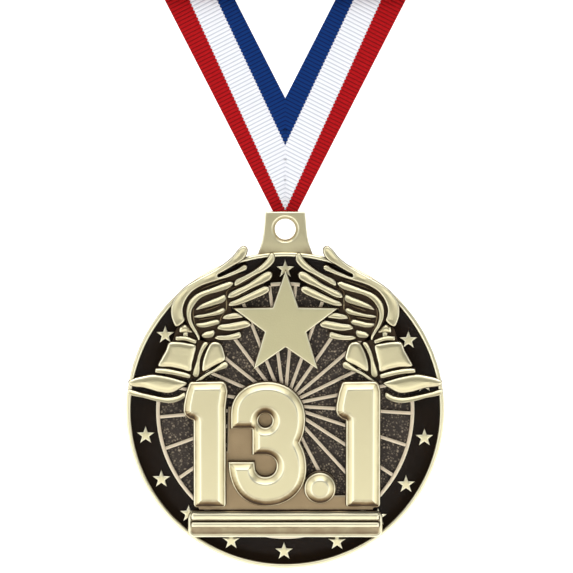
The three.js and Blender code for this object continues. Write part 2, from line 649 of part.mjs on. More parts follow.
add('ribbon_strap_left', strap(-1), RED);
add('ribbon_strap_right', strap(1), BLUE);
add('ribbon_loop', ribbonLoop(), WHITE);
add('ribbon_bundle', box(HANK_W, HANK_T, HANK_TOP_Z, HANK_BOTTOM_Z), RED);
add('ribbon_tie', ribbonTie(), WHITE);

export default group;
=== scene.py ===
# %% [markdown]
# # A finisher medal on its neck ribbon
# The medal is one casting: a round plate with a winged running shoe on each side, a big
# star, the race distance and a plinth, all in raised relief, plus a band of black enamel.
# A striped ribbon holds it by a thin bar behind its tab. This lesson rebuilds each raised
# element as a fine mesh, the ribbon as woven cloth, and gives every surface its own finish.
#
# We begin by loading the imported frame. It tells us where everything is.

# %% Load the frame
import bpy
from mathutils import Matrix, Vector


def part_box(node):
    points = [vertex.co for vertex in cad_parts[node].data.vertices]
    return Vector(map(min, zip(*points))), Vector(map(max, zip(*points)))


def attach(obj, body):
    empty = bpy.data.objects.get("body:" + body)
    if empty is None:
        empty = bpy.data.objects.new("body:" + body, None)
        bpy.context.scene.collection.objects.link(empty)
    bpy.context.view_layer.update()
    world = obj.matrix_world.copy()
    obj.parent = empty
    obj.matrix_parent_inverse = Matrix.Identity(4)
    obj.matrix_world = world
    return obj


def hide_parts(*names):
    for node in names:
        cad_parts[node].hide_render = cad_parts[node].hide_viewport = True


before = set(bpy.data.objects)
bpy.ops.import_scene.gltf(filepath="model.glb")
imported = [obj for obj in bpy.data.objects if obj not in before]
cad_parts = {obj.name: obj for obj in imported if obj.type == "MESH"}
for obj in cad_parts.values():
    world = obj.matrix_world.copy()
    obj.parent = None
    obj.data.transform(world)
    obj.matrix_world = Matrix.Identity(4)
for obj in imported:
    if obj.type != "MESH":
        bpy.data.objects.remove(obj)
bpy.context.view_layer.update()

# %% Tools for the whole lesson
import math

import bmesh
import bpy
import numpy as np
from mathutils import Vector, noise
from mathutils.geometry import delaunay_2d_cdt

SCENE = bpy.context.scene
MM = 0.001
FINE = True

# %% [markdown]
# ## Where things are
# Every place comes from the frame. The disc's box gives the medal's centre, its radius and
# the plane of its flat back, and each node's box says how far forward it stands. The relief
# is drawn in millimetres from the disc's centre, for a disc of 38.1 mm radius, so one scale
# fits the drawing to the disc that the frame holds.

# %% Measure the frame
disc_low, disc_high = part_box("base_disc")
DISC_R = (disc_high.x - disc_low.x) / 2 / MM
CENTRE_X = (disc_high.x + disc_low.x) / 2 / MM
CENTRE_Z = (disc_high.z + disc_low.z) / 2 / MM
BACK_Y = disc_high.y / MM
ART = DISC_R / 38.1


def height_of(node):
    """How far a node's front stands before the medal's flat back, in millimetres."""
    return BACK_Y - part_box(node)[0].y / MM


PLATE = height_of("base_disc")
FIELD = height_of("center_field")
DECK = height_of("enamel_band")
TAB_TOP_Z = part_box("hanger_tab")[1].z / MM
bar_low, bar_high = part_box("ribbon_bar")
BAR_Z = (bar_low.z + bar_high.z) / 2 / MM
BAR_R = (bar_high.z - bar_low.z) / 2 / MM
print(f"disc radius {DISC_R:.2f} mm, deck {DECK:.2f} mm before the back, bar at z {BAR_Z:.2f} mm")

# %% [markdown]
# ## Camera
# The medal is seen almost square on, from far away, so a long lens is the right choice: it
# keeps the disc round and the sides parallel. The view is centred above the disc, so that
# both straps of the ribbon leave it at the top.

# %% Place the camera
VIEW_W = 136.6  # millimetres that the view spans at the medal
LENS, SENSOR = 150.0, 36.0
ELEVATION = math.radians(4.0)
aim = Vector((CENTRE_X + 0.3, BACK_Y - 3.3, CENTRE_Z + 29.9)) * MM
distance = VIEW_W * MM * LENS / SENSOR
camera_data = bpy.data.cameras.new("view_camera")
camera_data.lens, camera_data.sensor_width = LENS, SENSOR
camera_data.clip_start, camera_data.clip_end = 0.05, 50
camera = bpy.data.objects.new("view_camera", camera_data)
SCENE.collection.objects.link(camera)
towards = Vector((0, -math.cos(ELEVATION), math.sin(ELEVATION)))
camera.location = aim + towards * distance
camera.rotation_mode = "QUATERNION"
camera.rotation_quaternion = (-towards).to_track_quat("-Z", "Y")
SCENE.camera = camera
print(f"camera {distance:.3f} m away")

# %% [markdown]
# ## Node trees in plain Python
# A material's maths reads best as an expression. This small class wraps one socket and
# turns `mask * 0.5 + 0.1` into Math nodes. `Tree.add` makes any other node in one call:
# its type, its settings, then the values or links of its sockets.

# %% A socket that does sums, and a tree that adds nodes
class Value:
    def __init__(self, tree, socket):
        self.tree, self.socket = tree, socket

    def op(self, operation, *others):
        return self.tree.add("ShaderNodeMath", {"operation": operation}, [self, *others])

    def __add__(self, other):
        return self.op("ADD", other)

    def __mul__(self, other):
        return self.op("MULTIPLY", other)

    def __sub__(self, other):
        return self.op("SUBTRACT", other)

    def __rsub__(self, other):
        return self.tree.add("ShaderNodeMath", {"operation": "SUBTRACT"}, [other, self])

    __radd__, __rmul__ = __add__, __mul__

    def sine(self):
        return self.op("SINE")

    def size(self):
        return self.op("ABSOLUTE")

    def clamped(self):
        return self.tree.add("ShaderNodeMath", {"operation": "ADD", "use_clamp": True}, [self, 0.0])

    def between(self, low, high):
        """0 below low, 1 above high and smooth between; low may be the larger one."""
        span = {"interpolation_type": "SMOOTHSTEP"}
        return self.tree.add("ShaderNodeMapRange", span, {"Value": self, "From Min": low, "From Max": high})


class Tree:
    def __init__(self, name):
        self.material = bpy.data.materials.new(name)
        self.material.use_nodes = True
        self.nodes, self.links = self.material.node_tree.nodes, self.material.node_tree.links
        self.shader = self.nodes["Principled BSDF"]

    def _feed(self, socket, value):
        if isinstance(value, Value):
            self.links.new(value.socket, socket)
        elif isinstance(value, (tuple, list)) and len(value) == 3 and socket.type == "RGBA":
            socket.default_value = (*value, 1)
        else:
            socket.default_value = value

    def add(self, kind, settings=None, inputs=None, output=0):
        node = self.nodes.new(kind)
        for key, value in (settings or {}).items():
            setattr(node, key, value)
        pairs = enumerate(inputs) if isinstance(inputs, list) else (inputs or {}).items()
        for key, value in pairs:
            self._feed(node.inputs[key], value)
        return Value(self, node.outputs[output])

    def noise(self, where, scale, detail=3.0):
        sizes = {"Vector": where, "Scale": scale, "Detail": detail}
        return self.add("ShaderNodeTexNoise", None, sizes)

    def mix(self, factor, a, b):
        node = {"data_type": "RGBA"}
        return self.add("ShaderNodeMix", node, {0: factor, 6: a, 7: b}, output=2)

    def object_point(self):
        return self.add("ShaderNodeTexCoord", output=3)

    def attribute(self, name):
        return self.add("ShaderNodeAttribute", {"attribute_name": name}, output=2)

    def bump(self, height, distance, strength=1.0):
        sizes = {"Height": height, "Distance": distance, "Strength": strength}
        return self.add("ShaderNodeBump", None, sizes)

    def finish(self, **sockets):
        for name, value in sockets.items():
            self._feed(self.shader.inputs[name.replace("_", " ")], value)
        return self.material


def linear(r, g, b):
    """A colour as the eye picks it, 0 to 255, turned into the shader's linear values."""
    return tuple(((c / 255 + 0.055) / 1.055) ** 2.4 if c > 10 else c / 255 / 12.92 for c in (r, g, b))


# %% [markdown]
# ## Antique gold
# The casting is plated in a pale gold, washed with dark brown and rubbed back: the high
# parts are bright, and the brown stays in corners and at the foot of every wall. Each
# relief mesh carries two attributes for that, worked out from its own shape. The first is
# 1 in the corners, where it is patina; it also carries painted shade on slopes that face
# down and on the medal's back. The second is 1 on the shoulders, where the near-white it
# brings is partly rubbed wear and partly a painted highlight. Noise breaks both up a little.

# %% Gold finishes
def antique_gold(name, bright, shade, rough=0.2, grain=0.012):
    tree = Tree(name)
    where = tree.object_point()
    patina_and_shade, wear_and_highlight = tree.attribute("patina_and_shade"), tree.attribute("wear_and_highlight")
    mottle = tree.noise(where, 260.0, 4.0)
    fine = tree.noise(where, 2400.0, 2.0)
    # Brown patina in the corners; slopes that face down and the medal's back get painted shade through the
    # same mix.
    wash_and_shade = (patina_and_shade * 1.25 + (mottle - 0.5) * 0.5 * patina_and_shade.between(0.02, 0.5)).clamped()
    # Near-white on the shoulders: partly rubbed metal and partly a painted highlight.
    plate = tree.mix(wear_and_highlight * 0.8, bright, linear(246, 242, 216))
    washed_and_shaded = tree.mix(wash_and_shade.between(0.1, 0.95), plate, shade)
    # Near-black where the brown is strongest: patina at the foot of walls, painted shade on bevels that
    # face down.
    deep = tree.mix(wash_and_shade.between(0.75, 1.1), washed_and_shaded, linear(34, 22, 10))
    roughness = mottle * 0.1 + rough - 0.05 + wash_and_shade * 0.3
    normal = tree.bump(fine, grain * MM)
    return tree.finish(Base_Color=deep, Metallic=1.0 - wash_and_shade.between(0.5, 1.1) * 0.5, Roughness=roughness,
                       Normal=normal)


GOLD = antique_gold("antique_gold", linear(221, 212, 172), linear(116, 90, 56), rough=0.3)
SATIN = antique_gold("satin_gold", linear(206, 199, 158), linear(130, 104, 64), rough=0.4, grain=0.03)
print("gold finishes ready")

# %% [markdown]
# ## The other finishes
# The field is blackened metal whose pebble tops are rubbed to a dull bronze. The rays and
# the ring are flatter and browner than the gold. The plaque keeps its brown wash. The
# enamel is a smooth brown black. Cloth reads its own UV map, in metres: the ribs get
# painted shade in their valleys, and the stripes drift outwards a little as they near the
# mitre, so that the white comes to a point just above the tab.

# %% Dark metal and enamel
def blackened_field():
    tree = Tree("pebbled_field")
    where, lift = tree.object_point(), tree.attribute("wear_and_highlight")
    patches = tree.noise(where, 220.0, 3.0)
    speck = tree.noise(where, 1500.0, 2.0)
    broken = (speck.between(0.35, 0.65) * 0.8 + 0.2) * (patches * 0.8 + 0.4)
    rubbed = (lift.between(0.25, 0.8) * broken).clamped()
    ground = tree.mix(patches, linear(34, 26, 20), linear(62, 52, 42))
    colour = tree.mix(rubbed, ground, linear(176, 160, 136))
    return tree.finish(Base_Color=colour, Metallic=rubbed * 0.6 + 0.2, Roughness=0.65 - rubbed * 0.2)


def enamel_black():
    tree = Tree("enamel")
    where = tree.object_point()
    cloud = tree.noise(where, 120.0, 2.0)
    colour = tree.mix(cloud, linear(14, 7, 1), linear(24, 13, 3))
    ripple = tree.bump(tree.noise(where, 90.0, 1.0), 0.02 * MM, 0.5)
    tree.shader.inputs["Specular IOR Level"].default_value = 0.1
    return tree.finish(Base_Color=colour, Roughness=cloud * 0.06 + 0.16, Normal=ripple)


FIELD_METAL = blackened_field()
ENAMEL = enamel_black()
RAY_GOLD = antique_gold("ray_metal", linear(206, 184, 158), linear(96, 76, 58), rough=0.4, grain=0.03)
PATINA = antique_gold("patina", linear(168, 147, 114), linear(96, 72, 48), rough=0.42, grain=0.03)
PLINTH_GOLD = antique_gold("plinth_gold", linear(216, 208, 170), linear(150, 124, 96), rough=0.3)


# %% Cloth
def grosgrain():
    """Red, white and blue stripes whose edges step from rib to rib, and fine warp threads."""
    tree = Tree("ribbon_cloth")
    uv = tree.add("ShaderNodeUVMap", {"uv_map": "cloth"})
    u = tree.add("ShaderNodeSeparateXYZ", None, [uv], output=0)
    v = tree.add("ShaderNodeSeparateXYZ", None, [uv], output=1)
    across, along = u * 1000.0, v * 1000.0
    wave = (along * (math.pi / 0.9)).sine().size()
    step = wave * 0.28
    drift = (along * (1 / 54)).clamped()
    red = (across + step + drift * 2.47).between(4.81, 4.93)
    blue = (across - step + drift * 1.75).between(-2.09, -2.21)
    thread = (across * (math.pi / 0.13)).sine().size()
    pick = tree.noise(uv, 5200.0, 2.0)
    # Painted shade: the cloth is darker in the valleys between the ribs.
    valley_shade = wave.between(0.05, 0.75)
    fibre_and_shade = pick * 0.2 + thread * 0.1 + valley_shade * 0.7
    whites = tree.mix(fibre_and_shade, linear(176, 180, 194), linear(246, 247, 251))
    reds = tree.mix(fibre_and_shade, linear(88, 1, 4), linear(182, 10, 18))
    blues = tree.mix(fibre_and_shade, linear(1, 16, 50), linear(4, 50, 118))
    colour = tree.mix(blue, tree.mix(red, whites, reds), blues)
    normal = tree.bump(thread * 0.6 + pick * 0.4, 0.02 * MM)
    tree.shader.inputs["Specular IOR Level"].default_value = 0.12
    return tree.finish(Base_Color=colour, Roughness=0.62 + pick * 0.2, Normal=normal)


def plain_weave(name, dark, light):
    tree = Tree(name)
    where = tree.object_point()
    pick = tree.noise(where, 4000.0, 3.0)
    fine = tree.noise(where, 900.0, 2.0)
    colour = tree.mix(pick * 0.6 + fine * 0.4, dark, light)
    return tree.finish(Base_Color=colour, Roughness=0.8 - fine * 0.15, Normal=tree.bump(pick, 0.03 * MM))


RIBBON_CLOTH = grosgrain()
BAND_CLOTH = plain_weave("band_cloth", linear(205, 205, 208), linear(240, 240, 240))
THREAD = plain_weave("seam_thread", linear(200, 200, 208), linear(238, 238, 244))
print("cloth ready")

# %% [markdown]
# ## Outlines
# The raised elements are drawn as outlines on the disc. Four kinds cover them all: a
# polygon with sharp corners, a smooth closed curve through a few points, a leaf that
# follows a spine and rounds off at both ends, and a path of lines, arcs and curves. Every
# outline ends up as a dense loop of points, so that round stretches stay round.

# %% Outline tools
def even(loop, step):
    """The same closed loop with points about one step apart; its corners stay."""
    loop = np.asarray(loop, float)
    following = np.roll(loop, -1, axis=0)
    points = []
    for a, b in zip(loop, following):
        count = max(1, round(float(np.hypot(*(b - a))) / step))
        points.extend(a + (b - a) * i / count for i in range(count))
    return np.array(points)


def turning_left(loop):
    """The loop, turned round if needed so that it runs anticlockwise."""
    x, z = np.asarray(loop, float).T
    area = float(np.sum(x * np.roll(z, -1) - np.roll(x, -1) * z))
    return np.asarray(loop, float)[:: 1 if area > 0 else -1]


def spline(points, per_span=12, closed=False):
    """A centripetal Catmull-Rom curve, which has no loops or overshoots."""
    p = np.asarray(points, float)
    if closed:
        p = np.vstack([p[-1], p, p[0], p[1]])
    else:
        p = np.vstack([2 * p[0] - p[1], p, 2 * p[-1] - p[-2]])
    out = []
    for p0, p1, p2, p3 in zip(p, p[1:], p[2:], p[3:]):
        gaps = [max(1e-6, float(np.hypot(*(b - a)))) ** 0.5 for a, b in ((p0, p1), (p1, p2), (p2, p3))]
        t0, t1, t2, t3 = 0.0, gaps[0], gaps[0] + gaps[1], sum(gaps)
        for t in np.linspace(t1, t2, per_span, endpoint=False):
            a1 = p0 * (t1 - t) / (t1 - t0) + p1 * (t - t0) / (t1 - t0)
            a2 = p1 * (t2 - t) / (t2 - t1) + p2 * (t - t1) / (t2 - t1)
            a3 = p2 * (t3 - t) / (t3 - t2) + p3 * (t - t2) / (t3 - t2)
            b1 = a1 * (t2 - t) / (t2 - t0) + a2 * (t - t0) / (t2 - t0)
            b2 = a2 * (t3 - t) / (t3 - t1) + a3 * (t - t1) / (t3 - t1)
            out.append(b1 * (t2 - t) / (t2 - t1) + b2 * (t - t1) / (t2 - t1))
    if not closed:
        out.append(p[-2])
    return np.array(out)


def rounded(points):
    return turning_left(spline(points, 10, closed=True))


def grown(loop, amount):
    """The loop moved outwards by an amount."""
    heading = np.roll(loop, -1, axis=0) - np.roll(loop, 1, axis=0)
    heading /= np.maximum(np.hypot(*heading.T), 1e-9)[:, None]
    return loop + np.column_stack([heading[:, 1], -heading[:, 0]]) * amount


def leaf(spine, width, fullness=3.0, tip=1.0):
    """A feather, strap or band. fullness 2 gives an ellipse's ends, and a larger one squarer."""
    path = spline(spine, 24)
    along = np.concatenate([[0], np.cumsum(np.hypot(*np.diff(path, axis=0).T))])
    steps = max(24, int(along[-1] / 0.35))
    t = (1 - np.cos(np.pi * np.arange(steps + 1) / steps)) / 2
    centre = np.column_stack([np.interp(t * along[-1], along, axis) for axis in path.T])
    heading = np.gradient(centre, axis=0)
    heading /= np.hypot(*heading.T)[:, None]
    swell = np.maximum(0, 1 - np.abs(2 * t - 1) ** fullness) ** (1 / fullness)
    half = width / 2 * (1 + (tip - 1) * t) * swell
    side = np.column_stack([-heading[:, 1], heading[:, 0]]) * half[:, None]
    return turning_left(np.vstack([centre + side, (centre - side)[-2:0:-1]]))


def arc(x, z, r, start=0.0, end=360.0, steps=48):
    """Points on an arc, in degrees; a whole circle doesn't repeat its first point."""
    whole = abs(end - start) >= 360
    angles = np.radians(np.linspace(start, end, steps, endpoint=not whole))
    return np.column_stack([x + r * np.cos(angles), z + r * np.sin(angles)])


def bezier(start, values, steps=14):
    a, b, c, d = (np.array(p, float) for p in (start, values[0:2], values[2:4], values[4:6]))
    t = np.linspace(0, 1, steps + 1)[1:, None]
    return a * (1 - t) ** 3 + 3 * b * t * (1 - t) ** 2 + 3 * c * t ** 2 * (1 - t) + d * t ** 3


def star_points(x, z, outer, inner):
    angles = np.radians(90 + 36 * np.arange(10))
    radii = np.where(np.arange(10) % 2 == 0, outer, inner)
    return np.column_stack([x + radii * np.cos(angles), z + radii * np.sin(angles)])


def bar_points(half_w, top, foot, corner):
    corners = [(half_w - corner, top - corner), (corner - half_w, top - corner),
               (corner - half_w, foot + corner), (half_w - corner, foot + corner)]
    return np.vstack([arc(x, z, corner, 90 * i, 90 * i + 90, 9) for i, (x, z) in enumerate(corners)])


# %% [markdown]
# ## From an outline to raised metal
# A cast relief isn't an extrusion: its walls lean a little so that it leaves the mould, its
# shoulders are rounded, and its top may be flat, domed or dished. All of that is a rule on
# one number, the distance in from the outline. So the mesh gets rings of points at chosen
# distances and a grid inside them, a constrained Delaunay triangulation joins them, and a
# profile turns each point's distance into its height. The same profile gives the two
# attributes that the finish reads, so the patina sits exactly in the corners and the painted
# highlight on the shoulders; slopes that face down get painted shade on top of that.
#
# A profile's rows are: distance in, height before the back, brown patina and painted shade,
# and rubbed wear with painted highlight.

# %% Relief meshes
RING_STEP = 0.16 if FINE else 0.4


def distance_to(loops, points, facing=False):
    """Each point's distance to the nearest side, and, if asked, how far that side faces down."""
    starts = np.vstack(loops)
    ends = np.vstack([np.roll(loop, -1, axis=0) for loop in loops])
    span = ends - starts
    length2 = np.maximum((span ** 2).sum(axis=1), 1e-12)
    nearest, down = np.empty(len(points)), np.empty(len(points))
    for i in range(0, len(points), 2000):
        part = points[i:i + 2000]
        offset = part[:, None] - starts[None]
        t = np.clip((offset * span).sum(axis=2) / length2, 0, 1)
        gap = offset - span[None] * t[..., None]
        length = np.sqrt((gap ** 2).sum(axis=2))
        closest = length.argmin(axis=1)[:, None]
        nearest[i:i + 2000] = np.take_along_axis(length, closest, 1)[:, 0]
        rise = np.take_along_axis(gap[..., 1], closest, 1)[:, 0]
        down[i:i + 2000] = rise / np.maximum(nearest[i:i + 2000], 1e-6)
    return (nearest, np.clip(down, 0, 1)) if facing else nearest


def is_inside(loops, points):
    """Even-odd test, so that a hole's loop takes its inside away."""
    inside = np.zeros(len(points), bool)
    for loop in loops:
        for (x0, z0), (x1, z1) in zip(loop, np.roll(loop, -1, axis=0)):
            if z0 == z1:
                continue
            crossed = (points[:, 1] < z0) != (points[:, 1] < z1)
            at = x0 + (points[:, 1] - z0) * (x1 - x0) / (z1 - z0)
            inside ^= crossed & (points[:, 0] < at)
    return inside


def triangulate(loops, extra=()):
    """Points and triangles that fill the loops, through the extra points as well."""
    points = [Vector(p) for loop in loops for p in loop] + [Vector(p) for p in extra]
    sides, start = [], 0
    for loop in loops:
        count = len(loop)
        sides += [(start + i, start + (i + 1) % count) for i in range(count)]
        start += count
    found, _, faces, *_ = delaunay_2d_cdt(points, sides, [], 1, 1e-6)
    found, faces = np.array([tuple(p) for p in found]), np.array([tuple(face) for face in faces])
    kept = is_inside(loops, found[faces].mean(axis=1))
    return found, [tuple(int(i) for i in face) for face in faces[kept]]


def merged_outline(shapes):
    """The outline round several overlapping shapes, as loops."""
    points, faces, start = [], [], 0
    for shape in shapes:
        points += [Vector(p) for p in shape]
        faces.append(list(range(start, start + len(shape))))
        start += len(shape)
    found, _, triangles, *_ = delaunay_2d_cdt(points, [], faces, 1, 1e-6)
    sides = {(a, b) for t in triangles for a, b in zip(t, [*t[1:], t[0]])}
    onward = {a: b for a, b in sides if (b, a) not in sides}
    loops = []
    while onward:
        first, _ = next(iter(onward.items()))
        loop, at = [], first
        while at in onward:
            loop.append(tuple(found[at]))
            at = onward.pop(at)
        loops.append(np.array(loop))
    return loops


def relief_shell(loops, profile, grid=0.45, under=0.3, brown_by_place=None):
    """One closed shell: (points as x, height, z, faces, recess, edge).

    under is how much painted shade the slopes that face down get, and the last argument adds brown by
    place.
    """
    loops = [even(loop, RING_STEP) for loop in loops]
    rows = np.array(profile, float)
    extra = []
    for ring in rows[1:, 0]:
        for loop in loops:
            heading = np.roll(loop, -1, axis=0) - np.roll(loop, 1, axis=0)
            heading /= np.maximum(np.hypot(*heading.T), 1e-9)[:, None]
            moved = loop + np.column_stack([-heading[:, 1], heading[:, 0]]) * ring
            moved = moved[distance_to(loops, moved) > ring - 0.02]
            if len(moved):
                extra.append(moved[is_inside(loops, moved)])
    pitch = grid if FINE else grid * 2
    everything = np.vstack(loops)
    low, high = everything.min(axis=0), everything.max(axis=0)
    xs = np.arange(low[0], high[0], pitch)
    zs = np.arange(low[1], high[1], pitch * 0.866)
    across = np.array([(x + pitch / 2 * (i % 2), z) for i, z in enumerate(zs) for x in xs])
    if len(across):
        across = across[is_inside(loops, across)]
    if len(across):
        extra.append(across[distance_to(loops, across) > rows[-1, 0] + pitch * 0.5])
    top, faces = triangulate(loops, np.vstack(extra) if extra else ())
    depth, down = distance_to(loops, top, facing=True)
    height, patina_and_shade, wear_and_highlight = (np.interp(depth, rows[:, 0], rows[:, i]) for i in (1, 2, 3))
    # Painted shade: slopes that face down get more brown and less highlight, fading out across the bevel.
    slope = np.interp(depth, [0.1, rows[-1, 0] * 0.75, rows[-1, 0]], [1, 1, 0])
    patina_and_shade = patina_and_shade + under * down * slope
    wear_and_highlight = wear_and_highlight * (1 - under * down)
    if brown_by_place:
        patina_and_shade = patina_and_shade + brown_by_place(top[:, 0], top[:, 1])
    under, back_faces = triangulate(loops)
    count = len(top)
    faces += [tuple(count + i for i in reversed(face)) for face in back_faces]
    points = np.column_stack([top[:, 0], height, top[:, 1]])
    flat = np.column_stack([under[:, 0], np.full(len(under), rows[0, 1]), under[:, 1]])
    zero = np.zeros(len(under))
    return (np.vstack([points, flat]), faces, np.concatenate([patina_and_shade, zero + 1]),
            np.concatenate([wear_and_highlight, zero]))


def place(points):
    """Drawing (x, height, z) in millimetres to the frame, in metres."""
    x, height, z = np.asarray(points, float).T
    return np.column_stack([CENTRE_X + x * ART, BACK_Y - height, CENTRE_Z + z * ART]) * MM


def piece(name, shells, materials, body, sharp=40.0, mirror=False):
    """One object from shells; mirror draws it on the other side of the disc."""
    points, faces, patina_and_shade, wear_and_highlight = [], [], [], []
    for shell_points, shell_faces, shell_patina_and_shade, shell_wear_and_highlight in shells:
        start = sum(len(p) for p in points)
        points.append(shell_points)
        faces += [tuple(start + i for i in face) for face in shell_faces]
        patina_and_shade.append(shell_patina_and_shade)
        wear_and_highlight.append(shell_wear_and_highlight)
    points = np.vstack(points)
    if mirror:
        points = points * (-1, 1, 1)
        faces = [face[::-1] for face in faces]
    mesh = bpy.data.meshes.new(name)
    mesh.from_pydata(place(points).tolist(), [], faces)
    for title, values in (("patina_and_shade", patina_and_shade), ("wear_and_highlight", wear_and_highlight)):
        mesh.attributes.new(title, "FLOAT", "POINT").data.foreach_set("value", np.concatenate(values))
    weld(mesh)
    return settle(name, mesh, materials, body, sharp)


def weld(mesh):
    """Join points that lie on each other, and drop faces that this leaves without area."""
    shape = bmesh.new()
    shape.from_mesh(mesh)
    bmesh.ops.remove_doubles(shape, verts=shape.verts, dist=0.002 * MM)
    shape.to_mesh(mesh)
    shape.free()


def settle(name, mesh, materials, body, sharp=40.0):
    """Put a finished mesh in the scene: materials, soft shading with sharp creases, body."""
    for material in materials:
        mesh.materials.append(material)
    mesh.polygons.foreach_set("use_smooth", [True] * len(mesh.polygons))
    mesh.set_sharp_from_angle(angle=math.radians(sharp))
    made = bpy.data.objects.new(name, mesh)
    SCENE.collection.objects.link(made)
    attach(made, body)
    return made


# %% [markdown]
# ## The plate, the rims and the enamel
# The plate, the two rings and the enamel are round, so they are turned: a profile of
# radius and height is spun about the medal's axis. The profiles have the small radii that
# a casting has, and the enamel climbs a little at its walls, as liquid does before it sets.

# %% Turned pieces
TURNS = 288 if FINE else 96


def turned(name, profile, materials, sweep=(0.0, 360.0)):
    """Spin rows of radius, height, recess and edge; a part sweep gets closed ends."""
    rows = np.array(profile, float)
    whole = sweep[1] - sweep[0] >= 360
    steps = TURNS if whole else max(2, round(TURNS * (sweep[1] - sweep[0]) / 360))
    angles = np.radians(np.linspace(*sweep, steps + 1))[: steps if whole else None]
    points = [(r * math.cos(a), h, r * math.sin(a)) for a in angles for r, h, *_ in rows]
    count = len(rows)
    faces = []
    for i in range(len(angles) if whole else len(angles) - 1):
        here, there = i * count, (i + 1) % len(angles) * count
        for j in range(count):
            k = (j + 1) % count
            faces.append((here + j, there + j, there + k, here + k))
    if not whole:
        faces.append(tuple(range(count)))
        faces.append(tuple(reversed(range(len(points) - count, len(points)))))
    repeat = len(angles)
    shell = (np.array(points), faces, np.tile(rows[:, 2], repeat), np.tile(rows[:, 3], repeat))
    return piece(name, [shell], materials, "medal", sharp=35)


def radius_of(node):
    low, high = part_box(node)
    return (high.x - low.x) / 2 / MM / ART


RIM_R = radius_of("base_disc")
BAND_R = radius_of("enamel_band")
RING_R = radius_of("inner_ring")
FIELD_R = radius_of("center_field")
RING_H, RIM_H = height_of("inner_ring"), height_of("outer_rim")
BACK_RIM, BACK_RECESS = 3.0, 0.3

# The back's recessed face gets brown in the third column, 0.35 in the middle and up to 0.7 at its wall:
# painted shade that darkens the medal's back.
plate = turned("plate", [
    (0, PLATE, 1, 0), (RIM_R - 0.15, PLATE, 1, 0), (RIM_R - 0.04, PLATE - 0.04, 0.3, 0),
    (RIM_R, PLATE - 0.15, 0, 0.3), (RIM_R, 0.35, 0, 0), (RIM_R - 0.1, 0.1, 0, 0.8),
    (RIM_R - 0.35, 0, 0, 0.6), (RIM_R - 0.8, 0, 0, 0), (RIM_R - BACK_RIM + 0.3, 0, 0, 0.2),
    (RIM_R - BACK_RIM + 0.1, 0.03, 0, 0.8), (RIM_R - BACK_RIM - 0.15, BACK_RECESS - 0.06, 0.7, 0),
    (RIM_R - BACK_RIM - 0.4, BACK_RECESS, 0.6, 0), (RIM_R / 2, BACK_RECESS, 0.4, 0),
    (0, BACK_RECESS, 0.35, 0),
], [GOLD])
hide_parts("base_disc")

rim = turned("rim", [
    (BAND_R - 0.05, PLATE, 1, 0), (BAND_R + 0.02, RIM_H - 0.55, 0.9, 0),
    (BAND_R + 0.12, RIM_H - 0.2, 0.1, 0.4), (BAND_R + 0.27, RIM_H - 0.04, 0, 1),
    (BAND_R + 0.4, RIM_H, 0, 0.6), (RIM_R - 0.45, RIM_H, 0, 0.1), (RIM_R - 0.28, RIM_H - 0.05, 0, 0.7),
    (RIM_R - 0.12, RIM_H - 0.2, 0.25, 0.2), (RIM_R - 0.02, RIM_H - 0.5, 0.5, 0), (RIM_R, PLATE, 0.5, 0),
], [GOLD])
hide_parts("outer_rim")

RING_PROFILE = [
    (FIELD_R - 0.02, PLATE, 1, 0), (FIELD_R + 0.03, RING_H - 0.3, 0.7, 0),
    (FIELD_R + 0.12, RING_H - 0.05, 0.2, 0.6), (FIELD_R + 0.3, RING_H, 0.15, 0.3),
    (RING_R - 0.3, RING_H, 0.15, 0.5), (RING_R - 0.12, RING_H - 0.05, 0.1, 1),
    (RING_R - 0.03, RING_H - 0.3, 0.7, 0), (RING_R, PLATE, 1, 0),
]

# The ring runs under the shoes and the figures, and shows in two stretches.
RING_STRETCHES = {"ring_lower": (174.0, 366.0), "ring_upper": (83.5, 96.5)}
rings = [turned(name, RING_PROFILE, [RAY_GOLD], sweep=sweep) for name, sweep in RING_STRETCHES.items()]
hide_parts("inner_ring")

enamel = turned("enamel", [
    (FIELD_R + 0.1, PLATE, 0, 0), (FIELD_R + 0.1, DECK + 0.12, 0, 0), (RING_R + 0.06, DECK + 0.1, 0, 0),
    (RING_R + 0.35, DECK, 0, 0), ((RING_R + BAND_R) / 2, DECK - 0.02, 0, 0), (BAND_R - 0.3, DECK, 0, 0),
    (BAND_R, DECK + 0.12, 0, 0), (BAND_R, PLATE, 0, 0),
], [ENAMEL])
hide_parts("enamel_band")
print(f"rim {RIM_R:.2f}, band {BAND_R:.2f}, ring {RING_R:.2f}, field {FIELD_R:.2f} mm")

# %% [markdown]
# ## The pebbled field
# Behind the rays the casting is pebbled: a close grain of small bumps, blackened all over
# and rubbed back just enough for their tops to glint. Bump mapping alone would go flat at a
# low angle, so a grid of points is lifted by cell noise, and the height of each pebble is
# kept as an attribute for the finish.

# %% Field of pebbles
PEBBLE = 0.66 if FINE else 1.2  # millimetres from one pebble to the next
PEBBLE_LIFT = 0.22


def pebbled_field():
    pitch = PEBBLE / 3
    radii = np.arange(pitch, FIELD_R, pitch)
    rings = [arc(0, 0, r, steps=max(8, int(2 * math.pi * r / pitch))) for r in radii]
    flat = np.vstack([[(0, 0)], *rings])
    found, _, faces, *_ = delaunay_2d_cdt([Vector(p) for p in flat], [], [], 0, 1e-6)
    points = np.array([tuple(p) for p in found])
    lift = np.empty(len(points))
    for i, (x, z) in enumerate(points):
        spot = Vector((x, z, 0)) / PEBBLE
        near, far = noise.voronoi(spot, distance_metric="DISTANCE", exponent=2.5)[0][:2]
        lift[i] = min(1.0, (far - near) * 2.6) * (0.7 + 0.3 * noise.noise(spot * 0.7))
    points = np.column_stack([points[:, 0], FIELD - 0.1 + PEBBLE_LIFT * lift, points[:, 1]])
    return points, [tuple(face) for face in faces], 1 - lift, lift


